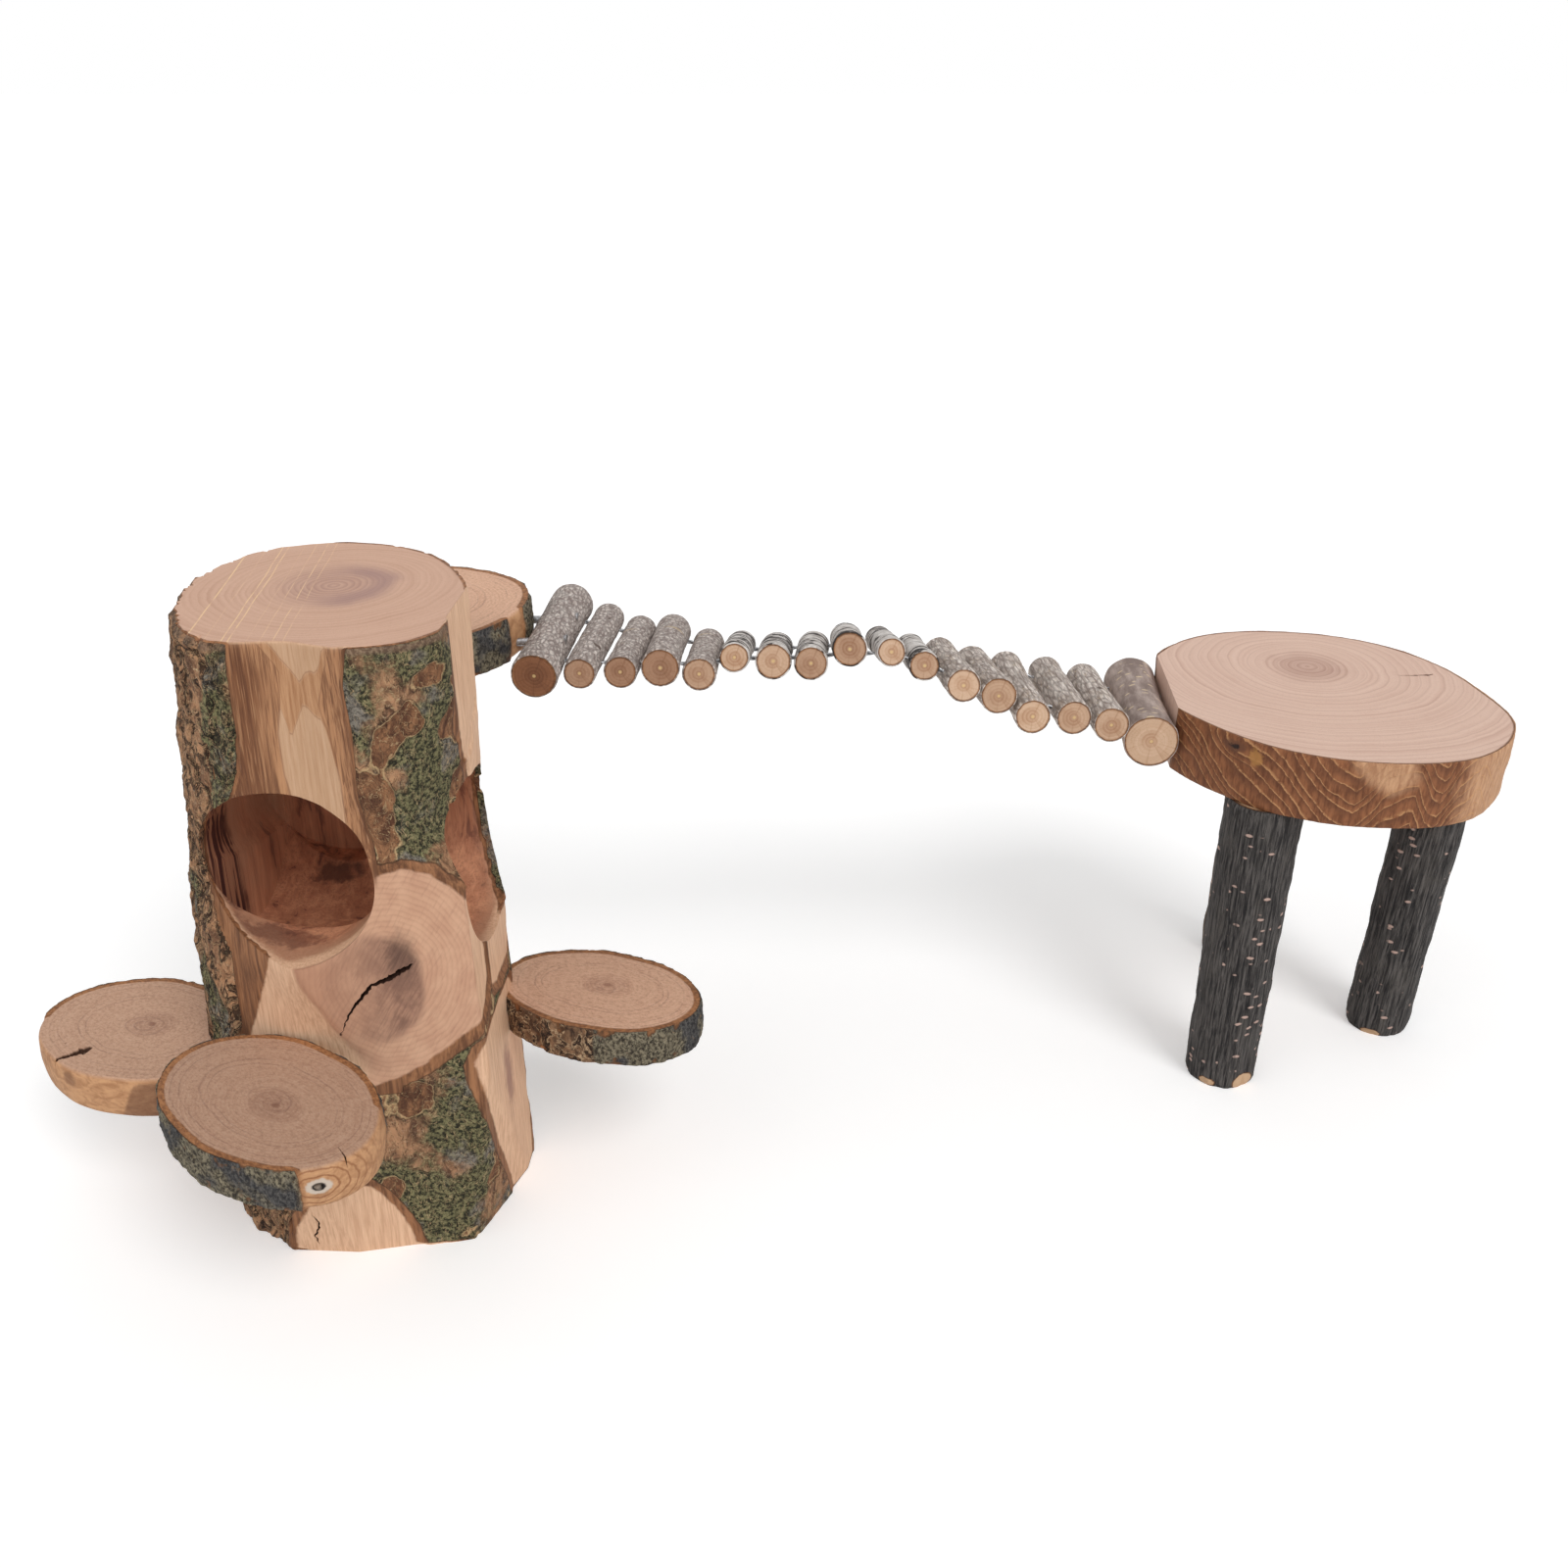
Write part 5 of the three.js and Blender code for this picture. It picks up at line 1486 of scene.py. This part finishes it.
# Places on the side, as azimuth, height, half-width and half-height: a knot, and resin beside it
side_knot = (-138.5, 167.6, 3.6, 1.7)
side_resin = (-130.6, 165.5, 3.2, 4.2)
stool_crack = [(440, 123, 0.4), (447, 122.6, 1.1), (455.4, 123.4, 1.8), (458, 124.4, 0.4)]
stool_sides = 320
stool_tiers = 26
stool_low, stool_high = (np.array(corner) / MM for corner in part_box("stool_top"))
angles, heights = round_grid(stool_sides, stool_tiers)
outline = stool_radius * share_around(stool_shares, angles)
outline_east = (outline[0] * np.cos(angles[0])).max()
outline_north = (outline[0] * np.sin(angles[0])).max()
stool_centre = np.array([stool_high[0] - outline_east, stool_high[1] - outline_north])


def stool_face(angles, heights):
    """Distance from the stool's centre to its side, before the flat is sawn."""
    edge = stool_underside + (1 - stool_underside) * heights
    return stool_radius * share_around(stool_shares, angles) * edge


levels = stool_low[2] + heights * (stool_high[2] - stool_low[2])
reach = stool_face(angles, heights)
side_points = placed_round((0, 0), angles, reach, levels)
hewn = stool_relief["waves"] * fuzz(side_points, 15, 50, 4) - stool_relief["sunk"]
hewn = hewn + stool_relief["grit"] * fuzz(side_points, 3, 51, 3, stretch=3)
corner = 1 - ease(np.abs(heights - 0.5), 0.44, 0.5)
leaning = np.cos(angles - math.radians(stool_flat["azimuth"]))
reach = reach + hewn - stool_relief["edge"] * (1 - corner)
reach = np.where(leaning > 0.1, np.minimum(reach, stool_flat["distance"] / np.maximum(leaning, 0.1)), reach)
rim = placed_round(stool_centre, angles, reach, levels)
stool = place_piece("stool_top_wood", round_mesh("stool_top_wood", rim))
stool_plane = (np.array([0, 0, stool_high[2]]), (1, 0, 0), (0, 1, 0))
carve(stool, crack_mesh(stool_crack, *stool_plane, seed=14, jag=0.15))
points = points_of(stool.data)
off_x, off_y = points[:, 0] - stool_centre[0], points[:, 1] - stool_centre[1]
around = np.arctan2(off_y, off_x)
height_share = (points[:, 2] - stool_low[2]) / (stool_high[2] - stool_low[2])
note(stool.data, "depth", stool_face(around, height_share) - np.hypot(off_x, off_y))
note(stool.data, "grain", np.stack([off_x - stool_pith[0], off_y - stool_pith[1], points[:, 2]], 1))
note(stool.data, "flow", points[:, 2] - np.interp(np.degrees(around), *np.array(growth_lines).T))
side_azimuth = np.degrees(around)
pale_lean = side_azimuth + 91 - 9 * (1 - height_share)
note(stool.data, "pale", 1.1 * np.exp(-((pale_lean / 10.5) ** 2) - ((1 - height_share) / 0.5) ** 2))
note(stool.data, "right", ease(side_azimuth, -80, -50) * (1 - ease(side_azimuth, 20, 60)))
for field, (azimuth, height, wide, tall) in (("knot", side_knot), ("resin", side_resin)):
    sideways = np.radians(side_azimuth - azimuth) * stool_radius / wide
    note(stool.data, field, np.hypot(sideways, (points[:, 2] - height) / tall))
note(stool.data, "crack", crack_depth(points, stool_crack, *stool_plane))


def scraped_side(finish, grain):
    """The stool's side: brown wood scraped bare, where pale growth lines run in nested waves."""
    thin = grain.stretch(1, 1, 0.2).noise(1.6, rough=0.65)
    knot = finish.attribute("knot")
    around_knot = knot.fall(1, 5) * 5
    flow = finish.attribute("flow") + grain.uneven(26, 4, detail=2)
    flow = flow + around_knot + grain.uneven(3, 0.9, rough=0.7)
    crowd = vector(z=flow).uneven(13, 7, detail=1)
    phase = ((flow + crowd) * 0.17).maths("FRACT")
    broken = grain.noise(2.4, detail=3, rough=0.7).rise(0.34, 0.5)
    line = phase.fall(0.0, 0.2) & broken
    brown = thin.rise(0.34, 0.7).mix((154, 100, 66), (108, 64, 40))
    brown = (phase.rise(0.3, 1.0) & 0.55).mix(brown, (84, 50, 36))
    pale_share = finish.attribute("pale") + finish.attribute("right") * 0.95
    pale_share = (pale_share + grain.uneven(8, 0.2)).rise(0.3, 0.75)
    tan = thin.rise(0.34, 0.7).mix((212, 166, 128), (178, 130, 96))
    tone = (pale_share & 0.9).mix(brown, tan)
    on_pale = line & finish.attribute("pale").blend(0.8, 0.15)
    tone = on_pale.mix(tone, (206, 154, 106))
    resin = (finish.attribute("resin") + grain.uneven(2.5, 0.8)).fall(0.6, 1.2)
    tone = (resin & 0.7).mix(tone, (186, 134, 74))
    ragged = knot + grain.uneven(2.5, 0.5)
    tone = (ragged.fall(1.2, 1.9) & 0.8).mix(tone, (104, 68, 50))
    tone = ragged.fall(0.5, 0.9).mix(tone, (44, 30, 26))
    return tone, thin * 0.3 + line * 0.25


stool_finish = Finish("stool_timber")
grain_place = stool_finish.attribute("grain", "Vector")
side = scraped_side(stool_finish, grain_place)
inner = under_bark(grain_place, (150, 104, 68), (112, 74, 48))
stool_colours = ((226, 194, 176), (198, 158, 140), (166, 126, 112))
tone, height, radius = ring_wood(grain_place, stool_colours, 3.6, 17)
wide_rings = radius + vector(radius).uneven(9, 2.5, detail=2)
wide_rings = (wide_rings * 0.23).maths("PINGPONG", 0.5)
ring_line = wide_rings.fall(0.02, 0.14)
tone = (ring_line & 0.25).mix(tone, (176, 136, 118))
depth = stool_finish.attribute("depth") + grain_place.uneven(5, 0.25)
tone, height = layered(depth, side, inner, (tone, height), (1.2, 1.9))[:2]
tone = stool_finish.attribute("crack").rise(0.05, 0.5).mix(tone, (96, 66, 52))
settle(stool, stool_finish.close(tone, height, 0.62), "stool")

# Stool legs
# Three lengths of dark branch with ridged bark and rows of pale breathing pores, doweled into
# the underside of the stool top.
leg_sides = 96
leg_tiers = 130
leg_relief = 0.55
leg_worn_edge = 0.5
leg_grain_apart = 400
leg_insets = (0.5, 1, 1.6, 2.4, 4, 7, 10)


def leg_bark(finish, grain):
    """Nearly black bark with fine ridges along the leg, rows of pale pinkish pores, and worn brown places."""
    worn = finish.attribute("worn")
    ridges = grain.stretch(z=0.05).noise(0.9, rough=0.7)
    patches = grain.stretch(z=0.4).noise(9, rough=0.65)
    tone = ridges.rise(0.36, 0.7).mix((26, 24, 25), (100, 95, 92))
    tone = (patches.rise(0.5, 0.72) & 0.3).mix(tone, (94, 88, 82))
    brown = ridges.rise(0.34, 0.66).mix((74, 62, 52), (140, 122, 102))
    tone = (worn & 0.85).mix(tone, brown)
    cells = grain.stretch(0.5, 0.5, 1).cells(4, "F1")
    rows = grain.stretch(z=0.06).noise(5.5, detail=1).rise(0.43, 0.48)
    pores = cells.fall(0.15, 0.24) & rows
    tone = (pores & 0.9).mix(tone, (202, 172, 160))
    return tone, ridges * 0.6 + pores * 0.5


leg_finish = Finish("leg_timber_and_bark")
grain_place = leg_finish.attribute("grain", "Vector")
bark = leg_bark(leg_finish, grain_place)
inner = under_bark(grain_place, (150, 104, 66), (88, 58, 40))
leg_colours = ((206, 172, 138), (178, 138, 104), (160, 118, 88))
tone, height = ring_wood(grain_place, leg_colours, 2, 6)[:2]
depth = leg_finish.attribute("depth") + grain_place.uneven(3, 0.2)
tone, height, bark_share = layered(depth, bark, inner, (tone, height), (1.3, 2.2))
leg_material = leg_finish.close(tone, height, bark_share.blend(0.66, 0.7))
# Chipped or debarked places of each leg: azimuth round the leg, height, reach sideways and upwards
leg_chips = {"front": [(-62, 3, 6, 4.5), (-128, 2, 4, 2)], "right": [(-120, 1, 5, 2)],
             "back": [(-118, 118, 4, 11), (-60, 2, 5, 2)]}
leg_worn_share = {"front": 0.0, "right": 0.0, "back": 0.8}

for index, name in enumerate(("front", "right", "back")):
    points = node_points(f"leg_{name}")
    foot, head = rod_ends(points, np.array([0, 0, 1]))
    foot_points = points[points[:, 2] < foot[2] + 1]
    head_points = points[points[:, 2] > head[2] - 1]
    foot_radius = np.linalg.norm(foot_points - foot, axis=1).max()
    head_radius = np.linalg.norm(head_points - head, axis=1).max()
    angles, shares = round_grid(leg_sides, leg_tiers)
    reach = foot_radius + (head_radius - foot_radius) * shares
    centre = foot + (head - foot) * shares[..., None]
    outward = np.stack([np.cos(angles), np.sin(angles), np.zeros(angles.shape)], -1)
    side_points = centre + outward * reach[..., None]
    ridges = fuzz(side_points, 4, 60 + index, 4, stretch=5)
    lumps = fuzz(side_points, 20, 70 + index, 3)
    worn = 1 - ease(np.abs(shares - 0.5), 0.485, 0.5)
    reach = reach + leg_relief * (ridges + lumps - 1) - leg_worn_edge * (1 - worn)
    rings = centre + outward * reach[..., None]
    leg = place_piece(f"leg_{name}_wood", round_mesh(f"leg_{name}_wood", rings, leg_insets))
    points = points_of(leg.data)
    share = (points[:, 2] - foot[2]) / (head[2] - foot[2])
    off = points - (foot + (head - foot) * share[:, None])
    around = np.hypot(off[:, 0], off[:, 1])
    depth = foot_radius + (head_radius - foot_radius) * share - around - leg_relief
    facing = np.degrees(np.arctan2(off[:, 1], off[:, 0]))
    for chip_azimuth, chip_height, wide, tall in leg_chips[name]:
        sideways = np.degrees(turned(np.radians(facing - chip_azimuth))) / 60 * foot_radius
        chip = np.hypot(sideways / wide, (points[:, 2] - chip_height) / tall)
        depth = depth + 4 * (1 - ease(chip, 0.6, 1.2))
    note(leg.data, "depth", depth)
    note(leg.data, "worn", np.full(len(points), leg_worn_share[name]))
    note(leg.data, "grain", np.stack([off[:, 0], off[:, 1], points[:, 2] + leg_grain_apart * index], 1))
    settle(leg, leg_material, "stool")
